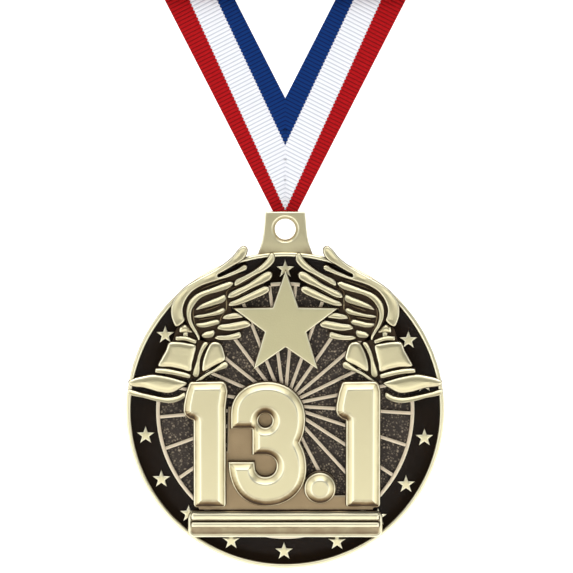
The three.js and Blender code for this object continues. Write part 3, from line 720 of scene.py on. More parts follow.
field = piece("pebbled_field", [pebbled_field()], [FIELD_METAL], "medal", sharp=180)
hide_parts("center_field")
print("field of", len(field.data.polygons), "faces")

# %% [markdown]
# ## Rays
# Twenty-four flat rays fan out from behind the figures. They are one bar repeated, which is
# work for Geometry Nodes: points are laid out by index, each point's angle and length are
# sums on that index, and the bar is instanced, turned and stretched to fit. The length is
# where a line from the rays' centre meets the ring, so every ray stops at the same circle.

# %% Ray tree
class GeometryTree(Tree):
    def __init__(self, name, inputs):
        self.group = bpy.data.node_groups.new(name, "GeometryNodeTree")
        self.nodes, self.links = self.group.nodes, self.group.links
        self.sockets = {}
        sides = self.group.interface
        sides.new_socket("Geometry", in_out="OUTPUT", socket_type="NodeSocketGeometry")
        sides.new_socket("Geometry", in_out="INPUT", socket_type="NodeSocketGeometry")
        for title, (kind, value) in inputs.items():
            made = sides.new_socket(title, in_out="INPUT", socket_type=kind)
            self.sockets[title] = (made.identifier, value)
        self.entry = self.nodes.new("NodeGroupInput")

    def given(self, title):
        return Value(self, self.entry.outputs[title])

    def vector(self, x=0.0, y=0.0, z=0.0):
        return self.add("ShaderNodeCombineXYZ", None, [x, y, z])

    def build(self, name, result, source, materials, body, **values):
        """Run the tree on a source mesh and keep the result as a plain mesh."""
        plain = self.add("GeometryNodeRealizeInstances", None, [result])
        painted = self.add("GeometryNodeSetMaterial", None, {"Geometry": plain, "Material": materials[0]})
        out = self.nodes.new("NodeGroupOutput")
        self.links.new(painted.socket, out.inputs[0])
        carrier = bpy.data.objects.new(name + "_source", source)
        SCENE.collection.objects.link(carrier)
        modifier = carrier.modifiers.new("repeat", "NODES")
        modifier.node_group = self.group
        for title, (identifier, value) in self.sockets.items():
            modifier[identifier] = values.get(title.lower().replace(" ", "_"), value)
        evaluated = carrier.evaluated_get(bpy.context.evaluated_depsgraph_get())
        mesh = bpy.data.meshes.new_from_object(evaluated)
        mesh.name = name
        carrier.modifiers.remove(modifier)
        bpy.data.objects.remove(carrier)
        mesh.materials.clear()
        return settle(name, mesh, materials, body)


def mesh_of(name, shell):
    """A prototype for instancing, with its recess and edge kept."""
    points, faces, patina_and_shade, wear_and_highlight = shell
    mesh = bpy.data.meshes.new(name)
    mesh.from_pydata((np.asarray(points) * (ART, -1, ART) * MM).tolist(), [], faces)
    for title, values in (("patina_and_shade", patina_and_shade), ("wear_and_highlight", wear_and_highlight)):
        mesh.attributes.new(title, "FLOAT", "POINT").data.foreach_set("value", values)
    weld(mesh)
    made = bpy.data.objects.new(name, mesh)
    SCENE.collection.objects.link(made)
    return made


# %% Lay the rays
RAY_CENTRE = (-0.2, 1.3)
RAY_UPRIGHT, RAY_FIRST, RAY_STEP, RAY_COUNT = 90.9, 6.2, 14.7, 12
RAY_W = 0.95
RAY_H = height_of("ray_burst")


def ray_shell():
    """One ray, a millimetre long along x, with a rounded top; it is stretched when placed."""
    half = RAY_W / 2
    section = [(-half, FIELD - 0.15, 1, 0), (-half + 0.04, RAY_H - 0.12, 0.5, 0),
               (-half + 0.12, RAY_H - 0.02, 0.1, 0.9), (-half + 0.26, RAY_H, 0.05, 0.3),
               (half - 0.26, RAY_H, 0.05, 0.3), (half - 0.12, RAY_H - 0.02, 0.1, 0.9),
               (half - 0.04, RAY_H - 0.12, 0.5, 0), (half, FIELD - 0.15, 1, 0)]
    rows = np.array(section)
    points = [(x, h, z) for x in (0, 1) for z, h, *_ in rows]
    count = len(rows)
    faces = [(i, (i + 1) % count, count + (i + 1) % count, count + i) for i in range(count)]
    faces += [tuple(reversed(range(count))), tuple(range(count, 2 * count))]
    return np.array(points), faces, np.tile(rows[:, 2], 2), np.tile(rows[:, 3], 2)


def lay_rays():
    tree = GeometryTree("ray_fan", {
        "Bar": ("NodeSocketObject", mesh_of("ray_bar", ray_shell())),
        "Count": ("NodeSocketInt", RAY_COUNT),
        "Upright": ("NodeSocketFloat", math.radians(RAY_UPRIGHT)),
        "First": ("NodeSocketFloat", math.radians(RAY_FIRST)),
        "Step": ("NodeSocketFloat", math.radians(RAY_STEP)),
        "Reach": ("NodeSocketFloat", (FIELD_R + 0.3) * ART),
    })
    centre = place([(RAY_CENTRE[0], 0, RAY_CENTRE[1])])[0]
    points = tree.add("GeometryNodePoints", None, {"Count": tree.given("Count") * 2,
                                                   "Position": tuple(centre)})
    index = tree.add("GeometryNodeInputIndex")
    side = index.op("MODULO", 2.0) * 2.0 - 1.0
    rank = index.op("DIVIDE", 2.0).op("FLOOR")
    angle = tree.given("Upright") + side * (tree.given("First") + rank * tree.given("Step"))
    along = angle.op("COSINE") * RAY_CENTRE[0] + angle.sine() * RAY_CENTRE[1]
    off = RAY_CENTRE[0] ** 2 + RAY_CENTRE[1] ** 2
    reach = tree.given("Reach")
    length = (along * along + reach * reach - off).op("SQRT") - along
    bar = tree.add("GeometryNodeObjectInfo", None, {"Object": tree.given("Bar")}, output=4)
    turn = tree.vector(0.0, angle * -1.0, 0.0)
    stretch = tree.vector(length, 1.0, 1.0)
    fan = tree.add("GeometryNodeInstanceOnPoints", None,
                   {"Points": points, "Instance": bar, "Rotation": turn, "Scale": stretch})
    made = tree.build("rays", fan, bpy.data.meshes.new("ray_source"), [RAY_GOLD], "medal")
    bpy.data.objects.remove(bpy.data.objects["ray_bar"])
    return made


rays = lay_rays()
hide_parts("ray_burst")
print("rays", len(rays.data.polygons), "faces")

# %% [markdown]
# ## Small stars on the enamel
# Thirteen small stars stand on the enamel, all upright. One fine star is made from its
# outline, and a second tree puts it on thirteen points.

# %% Band stars
BAND_STAR_ANGLES = [90, 30, 11, 349, 328.5, 311, 291.5, 269.5, 247.5, 227, 209, 190, 147.5]
BAND_STAR_R, BAND_STAR_INNER_R = 2.45, 1.0
BAND_STAR_H = height_of("band_star_01")


def lay_band_stars():
    shell = relief_shell([star_points(0, 0, BAND_STAR_R, BAND_STAR_INNER_R)], [
        (0, DECK - 0.1, 1, 0), (0.05, BAND_STAR_H - 0.3, 0.7, 0), (0.12, BAND_STAR_H - 0.1, 0, 0.9),
        (0.24, BAND_STAR_H - 0.02, 0, 0.9), (0.45, BAND_STAR_H, 0.08, 0),
    ], grid=0.3)
    prototype = mesh_of("small_star", shell)
    circle = (RING_R + BAND_R) / 2
    angles = np.radians(BAND_STAR_ANGLES)
    spots = np.column_stack([circle * np.cos(angles), 0 * angles, circle * np.sin(angles)])
    source = bpy.data.meshes.new("star_spots")
    source.from_pydata(place(spots).tolist(), [], [])
    tree = GeometryTree("stars_on_points", {"Star": ("NodeSocketObject", prototype),
                                            "Size": ("NodeSocketFloat", 1.0)})
    star = tree.add("GeometryNodeObjectInfo", None, {"Object": tree.given("Star")}, output=4)
    spread = tree.add("GeometryNodeInstanceOnPoints", None, {
        "Points": tree.given("Geometry"), "Instance": star, "Scale": tree.given("Size")})
    made = tree.build("band_stars", spread, source, [GOLD], "medal")
    bpy.data.objects.remove(prototype)
    return made


band_stars = lay_band_stars()
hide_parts(*[f"band_star_{i + 1:02d}" for i in range(len(BAND_STAR_ANGLES))])
print("band stars", len(band_stars.data.polygons), "faces")

# %% [markdown]
# ## Figures, plaque, big star and plinth
# The figures are the highest relief. Each has a steep wall, a thin lip that is bright with
# rubbed wear and a painted highlight, a broad sloping bevel and a flat face, and bevels that
# face down are painted darker, as painted shade. The plaque that joins them is low and stays
# brown. The figure one is straight lines with rounded corners, and the three is lines and
# Bezier curves.

# %% Figure outlines
FIGURE_TOP, FIGURE_FOOT, PLAQUE_FOOT = 7.3, -23.1, -24.0
POINT = (8.3, -18.4, 3.9)


def figure_one(shift, stem_edge):
    corner = 0.9
    foot = FIGURE_FOOT + corner
    points = [tuple(p) for p in arc(-22.0 + corner, foot, corner, 180, 270, 6)]
    points += [tuple(p) for p in arc(stem_edge - corner, foot, corner, 270, 360, 6)]
    points += [(stem_edge, 1.2), (-13.6, 5.0)]
    points += [tuple(p) for p in arc(-15.3, FIGURE_TOP - 1.3, 1.4, 15, 90, 7)]
    points += [(-22.1, FIGURE_TOP)]
    points += [tuple(p) for p in arc(-22.2, FIGURE_TOP - corner, corner, 100, 150, 5)]
    points += [(-23.7, 4.8), (-24.3, 1.8), (-24.4, 0.2), (-24.0, -0.9), (-23.0, -1.7), (-22.0, -2.1)]
    return turning_left([(x + shift, z) for x, z in points])


THREE_START = (-13.1, -4.2)
THREE_ROUTE = [
    (-8.0, -4.2), (-8.0, -10.5), (-4.8, -10.5), (-3.3, -10.6, -2.2, -11.5, -2.2, -12.9),
    (-2.2, -14.4, -3.2, -15.5, -4.8, -15.5), (-5.9, -15.5, -6.7, -14.9, -7.0, -14.0), (-7.3, -11.9),
    (-13.7, -11.9), (-13.7, -18.6, -10.2, -22.9, -4.6, -22.9), (0.9, -22.9, 5.2, -19.2, 5.2, -13.6),
    (5.2, -11.6, 4.8, -9.4, 3.6, -7.4), (4.4, -5.8, 4.9, -4.2, 4.9, -1.6),
    (4.9, 3.7, 0.9, FIGURE_TOP, -4.3, FIGURE_TOP), (-9.3, FIGURE_TOP, -13.1, 4.3, -13.1, -0.5),
]


def figure_three():
    """Lines where a row has two numbers, Bezier curves where it has six."""
    points = [THREE_START]
    for row in THREE_ROUTE:
        points += [row] if len(row) == 2 else [tuple(p) for p in bezier(points[-1], row)]
    return turning_left(points)


ones = [figure_one(0, -14.1), figure_one(36.4, -13.6)]
three = figure_three()
counter = arc(-4.75, -2.1, 1.55)[::-1]

# %% Figures
DIGIT, PLAQUE = height_of("digit_three"), height_of("number_plaque")
FIGURE_PROFILE = [
    (0, PLAQUE, 1, 0), (0.06, PLAQUE + 1.0, 0.9, 0), (0.14, DIGIT - 1.3, 0.5, 0.1),
    (0.26, DIGIT - 1.1, 0.05, 1), (0.38, DIGIT - 1.05, 0.1, 0.7), (0.55, DIGIT - 1.0, 0.5, 0),
    (0.85, DIGIT - 0.8, 0.3, 0), (1.5, DIGIT - 0.26, 0.1, 0.1), (1.7, DIGIT - 0.08, 0, 0.8),
    (1.86, DIGIT, 0, 1), (2.05, DIGIT + 0.01, 0.05, 0.2), (2.4, DIGIT, 0.12, 0),
]
FIGURES = {"digit_one_left": [ones[0]], "digit_three": [three, counter],
           "decimal_point": [arc(*POINT)], "digit_one_right": [ones[1]]}
for node, loops in FIGURES.items():
    # under=0.5 gives the bevels that face down a stronger painted shade.
    figure = piece("figure_" + node, [relief_shell(loops, FIGURE_PROFILE, under=0.5)], [GOLD], "medal")
    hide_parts(node)

# %% Plaque, big star and plinth
strips = [[(-14.5, PLAQUE_FOOT), (-4, PLAQUE_FOOT), (-4, 1.2), (-13.8, 1.2)],
          [(-20.6, PLAQUE_FOOT), (20.9, PLAQUE_FOOT), (22.8, -21.6), (22.8, -20.2), (5.0, -20.2),
           (5.0, -15.6), (-4, -15.6), (-22.0, -20.2), (-22.0, -21.5)]]
wide_point = arc(POINT[0], POINT[1], POINT[2] + 0.2)
plaque_loops = merged_outline([three, *ones, wide_point, *[turning_left(strip) for strip in strips]])
plaque = piece("plaque", [relief_shell(plaque_loops, [
    (0, DECK - 0.3, 1, 0), (0.06, PLAQUE - 0.3, 0.9, 0), (0.16, PLAQUE - 0.06, 0.3, 0.5),
    (0.3, PLAQUE, 0.2, 0.3), (0.6, PLAQUE, 0.2, 0)], grid=0.8)], [PATINA], "medal")
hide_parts("number_plaque")

BIG_STAR = height_of("big_star")
big_star = piece("large_star", [relief_shell([star_points(0.1, 20.7, 13.4, 5.34)], [
    (0, FIELD - 0.1, 1, 0), (0.04, BIG_STAR - 0.9, 0.9, 0), (0.1, BIG_STAR - 0.3, 0.4, 0.2),
    (0.18, BIG_STAR - 0.08, 0, 1), (0.36, BIG_STAR - 0.01, 0, 0.9), (0.5, BIG_STAR, 0, 0.1),
    (0.9, BIG_STAR, 0, 0),
], grid=0.8)], [SATIN], "medal")
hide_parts("big_star")

PLINTH, RIB = height_of("plinth_base"), height_of("plinth_rib_upper")
plinth = piece("plinth", [relief_shell([bar_points(23.4, PLAQUE_FOOT, -30.5, 1.75)], [
    (0, FIELD - 0.1, 1, 0), (0.05, PLINTH - 0.6, 0.8, 0), (0.12, PLINTH - 0.25, 0.3, 0.3),
    (0.24, PLINTH - 0.05, 0, 1), (0.45, PLINTH, 0, 0.6), (0.68, PLINTH - 0.03, 0.05, 0.4),
    (0.85, PLINTH - 0.18, 0.4, 0), (1.05, PLINTH - 0.35, 0.55, 0),
    (1.5, PLINTH - 0.4, 0.5, 0)], grid=1.0, under=0)], [PLINTH_GOLD], "medal")
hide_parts("plinth_base")

RIB_ROWS = {"plinth_rib_upper": (-24.3, -26.2, 0.6), "plinth_rib_lower": (-26.5, -28.0, 0.5)}
for node, (top, foot, corner) in RIB_ROWS.items():
    rib = piece("bar_" + node, [relief_shell([bar_points(22.6, top, foot, corner)], [
        (0, PLINTH - 0.4, 1.2, 0), (0.05, RIB - 0.6, 0.9, 0), (0.12, RIB - 0.3, 0.5, 0.2),
        (0.25, RIB - 0.12, 0.05, 0.6), (0.45, RIB - 0.03, 0, 1),
        (0.75, RIB, 0, 0.3)], grid=0.5)], [GOLD], "medal")
    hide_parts(node)
print("figures, plaque, star and plinth done")

# %% [markdown]
# ## The winged shoe
# Each side of the medal has a running shoe with a wing at its heel. Its parts are closed
# curves through a few points, and leaves for the narrow bands: a forked leading feather
# that reaches past the disc's edge, an arc inside it, short covert feathers, long
# primaries, and the shoe's upper, straps, heel and sole. They stand on a low dark bed, so
# the gaps between them read as black. All are drawn once, for the left side, and again as
# a mirror image for the right, with each face turned round so that it still points out.

# %% Wing and shoe drawings
GROW = 0.14  # the drawn width is the bright part's; the wall stands outside it


def feather(width, top, crown=0.1):
    """Profile of a feather: lean wall, bright shoulder, and a faintly dished middle."""
    half = width / 2
    s = min(1.0, half / 0.8)
    return [(0, FIELD - 0.1, 0.3, 0), (0.04, top - 1.1, 1, 0), (0.1, top - 0.6, 0.9, 0),
            (0.17 * s, top - 0.3, 0.4, 0.2), (0.27 * s, top - 0.08, 0, 1), (0.4 * s, top, 0, 0.7),
            (0.6 * s, top - 0.02, 0, 0.1), (half * 0.98 + 0.02, top - crown, 0.02, 0)]


def pillow(top, swell, spread):
    """Profile of a broad padded part: it swells towards its middle."""
    low = top - swell
    return [(0, FIELD - 0.1, 0.3, 0), (0.04, low - 1.0, 1, 0), (0.1, low - 0.5, 0.9, 0),
            (0.18, low - 0.22, 0.4, 0.2), (0.3, low - 0.04, 0, 1), (0.5, low + 0.05, 0, 0.5),
            (spread * 0.6, low + swell * 0.7, 0, 0), (spread, top, 0, 0)]


LEADING = [
    (-26.0, 20.4), (-26.9, 22.0), (-27.2, 24.0), (-26.8, 26.2), (-25.4, 28.3), (-23.2, 30.2),
    (-20.1, 32.0), (-16.6, 33.9), (-14.2, 35.5), (-12.4, 37.1), (-11.0, 38.8), (-9.9, 39.5),
    (-9.1, 38.9), (-9.3, 37.5), (-10.3, 36.2), (-12.4, 34.9), (-14.6, 33.6), (-16.1, 32.7),
    (-16.0, 32.2), (-14.0, 32.9), (-11.5, 34.0), (-9.7, 35.0), (-9.1, 34.6), (-9.3, 34.0),
    (-11.0, 33.2), (-13.5, 32.2), (-16.5, 31.3), (-20.0, 30.1), (-22.3, 28.6), (-23.7, 26.7),
    (-24.4, 24.6), (-24.3, 23.0), (-24.0, 21.8),
]
INNER_ARC = [
    (-20.6, 17.1), (-21.2, 18.2), (-22.8, 20.8), (-23.4, 22.4), (-23.5, 24.4), (-22.8, 26.5),
    (-21.0, 28.2), (-18.0, 29.4), (-14.5, 30.7), (-13.0, 31.1), (-12.4, 30.7), (-13.4, 29.6),
    (-15.5, 28.8), (-18.5, 28.0), (-20.4, 27.0), (-21.6, 25.6), (-22.3, 24.2), (-22.4, 22.6),
    (-21.9, 20.8), (-21.0, 19.2), (-20.4, 17.6),
]
COVERTS = [
    [(-21.3, 24.3), (-20.6, 25.3), (-18.5, 26.4), (-16.0, 27.4), (-14.5, 28.0), (-14.1, 27.4),
     (-14.4, 26.4), (-17.0, 25.4), (-19.5, 24.7)],
    [(-21.8, 22.6), (-21.3, 23.0), (-19.0, 23.4), (-16.5, 24.1), (-14.8, 24.8), (-14.3, 24.3),
     (-14.8, 23.5), (-16.5, 23.0), (-18.5, 22.7), (-20.5, 22.4)],
    [(-21.2, 20.5), (-21.3, 21.0), (-19.5, 21.3), (-17.5, 21.8), (-16.2, 22.0), (-15.6, 21.5),
     (-15.9, 20.9), (-17.3, 20.5), (-19.0, 20.1), (-20.4, 20.1)],
    [(-20.0, 18.2), (-19.4, 18.9), (-18.0, 19.3), (-17.0, 19.4), (-16.8, 18.8), (-17.2, 17.9),
     (-18.3, 17.6), (-19.5, 17.7)],
]
PRIMARIES = [
    [(-12.0, 30.1), (-11.9, 31.3), (-9.5, 32.6), (-7.5, 33.7), (-5.5, 35.2), (-4.2, 36.6), (-3.5, 37.8),
     (-2.9, 37.8), (-2.5, 37.0), (-2.6, 36.0), (-3.5, 34.8), (-5.0, 33.7), (-7.0, 32.7), (-9.5, 31.3)],
    [(-13.6, 27.3), (-13.4, 28.2), (-11.5, 29.3), (-9.0, 30.5), (-6.8, 32.0), (-4.8, 33.3), (-3.7, 33.5),
     (-3.1, 32.9), (-3.4, 31.8), (-5.0, 30.8), (-7.5, 29.7), (-10.0, 28.4), (-12.3, 27.3)],
    [(-13.5, 25.4), (-13.2, 26.1), (-11.5, 26.9), (-9.0, 28.1), (-6.5, 29.3), (-4.8, 30.0), (-3.8, 29.6),
     (-3.8, 28.9), (-5.0, 28.0), (-7.5, 26.9), (-10.0, 25.9), (-12.0, 25.3)],
    [(-14.9, 22.3), (-14.6, 22.9), (-12.9, 23.5), (-11.6, 23.7), (-10.3, 23.1), (-10.1, 22.6),
     (-11.5, 22.3), (-13.8, 22.1)],
    [(-16.2, 19.9), (-15.6, 20.7), (-13.5, 21.1), (-11.0, 21.6), (-9.2, 21.8), (-8.2, 21.0), (-8.5, 20.4),
     (-10.0, 19.9), (-12.5, 19.4), (-14.5, 19.4)],
    [(-16.8, 17.6), (-16.2, 18.1), (-14.0, 18.3), (-12.0, 18.8), (-10.9, 19.1), (-10.5, 18.5),
     (-10.6, 17.8), (-12.0, 17.3), (-14.5, 17.1), (-16.0, 17.2)],
]
COVERT_ROOT = [(-21.7, 25.2), (-22.0, 23.2), (-21.6, 20.9), (-20.4, 18.2)]
PRIMARY_ROOT = [(-12.2, 31.8), (-13.0, 29.6), (-14.0, 28.4), (-14.0, 26.2), (-14.1, 24.4),
                (-15.3, 22.4), (-15.7, 20.8), (-16.4, 19.4), (-16.7, 18.4)]
TONGUE = [(-25.2, 18.9), (-25.1, 20.2), (-24.1, 20.8), (-23.3, 20.4), (-22.1, 18.9), (-23.6, 18.9)]
COLLAR = ([(-26.3, 17.5), (-23.8, 17.5), (-21.1, 16.6)], 0.95, 6)
COLLAR_NECK = ([(-23.8, 19.6), (-23.8, 17.2)], 1.2)
UPPER = [(-27.7, 16.4), (-25.8, 16.7), (-23.5, 16.4), (-21.4, 15.8), (-21.7, 13.5), (-22.2, 11.5),
         (-22.6, 9.6), (-24.8, 10.1), (-27.2, 10.6), (-30.3, 10.9), (-29.5, 12.8), (-28.5, 14.6)]
SHOE_STRAP = [(-19.3, 16.6), (-20.4, 14.7), (-21.2, 12.0), (-22.0, 8.7), (-21.4, 8.2), (-20.7, 8.6),
              (-20.3, 12.4), (-19.5, 14.6), (-18.5, 16.4)]
HEEL = [(-17.7, 16.4), (-16.5, 16.7), (-15.4, 16.2), (-14.6, 14.2), (-14.4, 12.4), (-16.6, 11.1),
        (-19.7, 9.6), (-19.8, 11.3), (-19.2, 13.6), (-18.4, 15.4)]
HEEL_WEDGE = [(-21.3, 7.3), (-19.5, 8.8), (-17.0, 10.2), (-14.4, 11.9), (-13.7, 11.5), (-13.9, 10.6),
              (-16.0, 9.7), (-18.3, 8.7), (-19.9, 7.5)]
INSTEP = ([(-31.2, 9.8), (-28.0, 9.6), (-25.0, 9.0), (-22.5, 8.3)], 1.15, 6)
TOE = [(-37.5, 7.0), (-36.2, 7.8), (-34.0, 8.4), (-31.5, 8.8), (-28.5, 8.4), (-25.8, 7.7),
       (-23.4, 6.7), (-25.2, 5.4), (-27.4, 4.4), (-30.0, 4.6), (-33.6, 5.6), (-36.8, 6.1)]
SOLE = [(-37.5, 5.2), (-34.6, 4.5), (-32.0, 3.9), (-28.5, 3.3), (-26.0, 3.6), (-24.0, 4.5), (-23.8, 3.5),
        (-25.4, 2.5), (-27.4, 2.0), (-30.6, 2.4), (-33.6, 3.2), (-37.4, 4.2)]
HAIRLINES = [
    [(-21.4, 28.7), (-18.0, 30.1), (-13.6, 31.6)], [(-19.6, 24.0), (-17.6, 24.6), (-15.3, 25.5)],
    [(-13.3, 29.0), (-9.6, 31.0), (-5.3, 33.6)], [(-13.2, 26.6), (-10.4, 27.9), (-7.4, 29.3)],
    [(-20.9, 21.9), (-18.6, 22.2), (-16.4, 22.6)],
]
WING_BED = [(-22.6, 19.4), (-24.3, 23.4), (-23.7, 26.8), (-21.3, 29.4), (-14.0, 32.3), (-9.5, 33.0),
            (-5.4, 32.4), (-5.2, 30.0), (-9.5, 26.8), (-12.6, 25.4), (-12.6, 23.8), (-9.6, 22.0),
            (-9.6, 20.2), (-11.8, 18.0), (-16.0, 17.0), (-20.4, 16.8)]
SHOE_BED = [(-25.6, 20.2), (-22.0, 19.6), (-18.0, 16.6), (-15.6, 15.6), (-15.2, 12.2), (-19.0, 9.3),
            (-22.2, 7.6), (-29.4, 9.2), (-29.6, 11.2), (-27.0, 16.8)]


# %% Make both winged shoes
def slim(drawing, top):
    """A strap or band along a spine."""
    spine, width, *shape = drawing
    width += 2 * GROW
    return relief_shell([leaf(spine, width, *shape)], feather(width, top), grid=0.3)


def plume(points, top, width=1.6, crown=0.1):
    """A feather, drawn as a closed curve."""
    return relief_shell([grown(rounded(points), GROW)], feather(width, top, crown), grid=0.35)


def root(spine):
    """The low brown ridge that ties a row of feathers together."""
    return relief_shell([leaf(spine, 0.8)], [(0, FIELD - 0.1, 1, 0), (0.15, PLAQUE - 0.8, 0.9, 0),
                                             (0.28, PLAQUE - 0.5, 0.6, 0.2),
                                             (0.4, PLAQUE - 0.45, 0.5, 0.2)])


def dark_bed(points):
    """A low plate of dark patina that the feathers and straps stand on."""
    level = RAY_H + 0.08
    return relief_shell([rounded(points)], [(0, FIELD - 0.1, 1.2, 0), (0.1, level, 1.2, 0),
                                            (0.3, level, 1.2, 0)], grid=0.8)


def hairline(spine):
    """A thin brown vein between two feathers."""
    level = RAY_H + 0.08
    return relief_shell([leaf(spine, 0.42)], [(0, level - 0.1, 0.8, 0), (0.06, level + 0.4, 0.7, 0),
                                              (0.15, level + 0.55, 0.55, 0.2),
                                              (0.2, level + 0.57, 0.55, 0.2)])


def broad(points, top, swell, spread):
    """A padded part of the shoe, drawn as a closed curve."""
    return relief_shell([grown(rounded(points), GROW)], pillow(top, swell, spread), grid=0.4)


feather_top = height_of("wing_leading_left")
covert_top = height_of("wing_coverts_left")
shoe_top = height_of("shoe_upper_left")
SHOE = {
    "wing_leading": [plume(LEADING, feather_top, 2.2, 0.15)],
    "wing_arc": [plume(INNER_ARC, feather_top, 1.3)],
    "wing_coverts": [dark_bed(WING_BED), root(COVERT_ROOT), *[hairline(line) for line in HAIRLINES],
                     *[plume(row, covert_top, 1.4) for row in COVERTS]],
    "wing_primaries": [root(PRIMARY_ROOT), *[plume(row, feather_top) for row in PRIMARIES]],
    "shoe_collar": [dark_bed(SHOE_BED), slim(COLLAR, shoe_top), slim(COLLAR_NECK, PLAQUE - 0.2),
                    broad(TONGUE, covert_top, 0.2, 1.0)],
    "shoe_upper": [broad(UPPER, shoe_top, 0.22, 1.3)],
    "shoe_strap": [plume(SHOE_STRAP, shoe_top, 1.2)],
    "shoe_heel": [broad(HEEL, shoe_top, 0.2, 1.2)],
    "shoe_heel_wedge": [plume(HEEL_WEDGE, shoe_top, 1.4)],
    "shoe_instep": [slim(INSTEP, shoe_top)],
    "shoe_toe": [broad(TOE, shoe_top, 0.3, 1.5)],
    "shoe_sole": [plume(SOLE, shoe_top, 1.4)],
}
for side, mirror in (("left", False), ("right", True)):
    for part, shells in SHOE.items():
        made = piece(f"{part}_{side}_relief", shells, [GOLD], "medal", mirror=mirror)
        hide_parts(f"{part}_{side}")
print("winged shoes", sum(len(shell[1]) for shells in SHOE.values() for shell in shells), "faces a side")

# %% [markdown]
# ## Hanger tab and ribbon bar
# The tab is cast in one with the disc and pierced by a round hole. Its front and back are
# relief shells with the hole as a second loop, and a turned ring gives the hole its
# countersunk mouth. Two lugs behind the tab hold the bar that the ribbon loops round.

# %% Tab
TAB = height_of("hanger_tab")
TAB_TOP = (TAB_TOP_Z - CENTRE_Z) / ART
TAB_FOOT_HALF = (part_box("hanger_tab")[1].x / MM - CENTRE_X) / ART
TAB_TOP_HALF, HOLE_R, HOLE_MOUTH_R, HOLE_DROP = 4.8, 2.46, 2.95, 4.2


def tab_outline():
    foot = RIM_R - 1.0
    bend = (TAB_TOP_HALF + 0.5, foot + 4)
    curve = bezier((TAB_TOP_HALF, TAB_TOP), (*bend, *bend, TAB_FOOT_HALF, foot))[::-1]
    right = [tuple(p) for p in curve] + [(TAB_TOP_HALF, TAB_TOP - 0.3), (TAB_TOP_HALF - 0.3, TAB_TOP)]
    return turning_left(right + [(-x, z) for x, z in reversed(right)])


def darker_towards_tab_foot(x, z):
    """Browner towards the tab's foot, against the feathers."""
    return 0.55 * np.clip((41.0 - z) / 3.4, 0, 1) * (0.4 + 0.6 * np.clip(np.abs(x) / 5, 0, 1))


def ring_shell(rows, x, z, steps=96):
    """Turned about an axis through a point of the drawing: radius, height, recess, edge."""
    rows = np.array(rows, float)
    points = [(x + r * math.cos(a), h, z + r * math.sin(a))
              for a in 2 * math.pi * np.arange(steps) / steps for r, h, *_ in rows]
    count = len(rows)
    faces = [(i * count + j, (i + 1) % steps * count + j, (i + 1) % steps * count + (j + 1) % count,
              i * count + (j + 1) % count) for i in range(steps) for j in range(count)]
    return np.array(points), faces, np.tile(rows[:, 2], steps), np.tile(rows[:, 3], steps)


hole_z = TAB_TOP - HOLE_DROP
mouth = arc(0, hole_z, HOLE_MOUTH_R, steps=72)[::-1]
tab_front = relief_shell([tab_outline(), mouth], [
    (0, 0.12, 0.2, 0), (0.02, TAB - 0.34, 0.2, 0), (0.1, TAB - 0.14, 0, 0.7),
    (0.24, TAB - 0.03, 0, 0.8), (0.42, TAB, 0, 0.1),
    (0.55, TAB, 0, 0)], grid=0.6, under=0, brown_by_place=darker_towards_tab_foot)
tab_back = relief_shell([tab_outline(), mouth], [
    (0, 0.13, 0, 0), (0.06, 0.05, 0, 0.7), (0.16, 0, 0, 0.3), (0.4, 0, 0, 0)], grid=0.6)
back_points, back_faces, *back_marks = tab_back
funnel = ring_shell([
    (HOLE_R, TAB - 1.0, 0.45, 0), (HOLE_R + 0.12, TAB - 0.75, 0.5, 0.1),
    (HOLE_MOUTH_R - 0.12, TAB - 0.35, 0.35, 0.2), (HOLE_MOUTH_R + 0.03, TAB - 0.2, 0, 0.8),
    (HOLE_MOUTH_R + 0.03, 0.1, 0, 0), (HOLE_R + 0.1, 0.04, 0, 0.5), (HOLE_R, 0.15, 0, 0)], 0, hole_z)
tab = piece("tab", [tab_front, (back_points, [f[::-1] for f in back_faces], *back_marks), funnel],
            [GOLD], "medal")
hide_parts("hanger_tab")


# %% Lugs and bar
def rod(name, radius, start, end, steps=32, lip=0.12):
    """A rod along x with softly rounded ends, in millimetres at the bar's height."""
    rows = [(start, 0), (start, radius - lip), (start + lip * 0.3, radius - lip * 0.3),
            (start + lip, radius), (end - lip, radius), (end - lip * 0.3, radius - lip * 0.3),
            (end, radius - lip), (end, 0)]
    points, faces = [], []
    for x, r in rows:
        turn = [2 * math.pi * i / steps for i in range(steps)]
        points += [(x * MM, r * math.sin(a) * MM, (BAR_Z + r * math.cos(a)) * MM) for a in turn]
    for i in range(len(rows) - 1):
        for j in range(steps):
            k = (j + 1) % steps
            faces.append((i * steps + j, i * steps + k, (i + 1) * steps + k, (i + 1) * steps + j))
    mesh = bpy.data.meshes.new(name)
    mesh.from_pydata(points, [], faces)
    weld(mesh)
    return mesh


bar_mesh = rod("bar", BAR_R, bar_low.x / MM, bar_high.x / MM)
bar = settle("bar", bar_mesh, [GOLD], "medal")
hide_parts("ribbon_bar")


def lug(side):
    """A small block from the tab's back to behind the bar, with its edges eased."""
    inner, outer = bar_high.x / MM + 0.02, bar_high.x / MM + 0.8
    shape = bmesh.new()
    half_z, rear, root = 0.7, 0.7, BACK_Y - 0.3
    corners = [(side * x, y, BAR_Z + z)
               for x in (inner, outer) for y in (root, rear) for z in (-half_z, half_z)]
    made = [shape.verts.new(Vector(c) * MM) for c in corners]
    bmesh.ops.convex_hull(shape, input=made)
    bmesh.ops.dissolve_limit(shape, angle_limit=0.02, verts=shape.verts, edges=shape.edges)
    bmesh.ops.bevel(shape, geom=shape.edges[:], offset=0.18 * MM, segments=3, affect="EDGES", profile=0.6)
    bmesh.ops.recalc_face_normals(shape, faces=shape.faces)
    mesh = bpy.data.meshes.new("lug")
    shape.to_mesh(mesh)
    shape.free()
    made = settle(f"lug_{'right' if side > 0 else 'left'}", mesh, [GOLD], "medal")


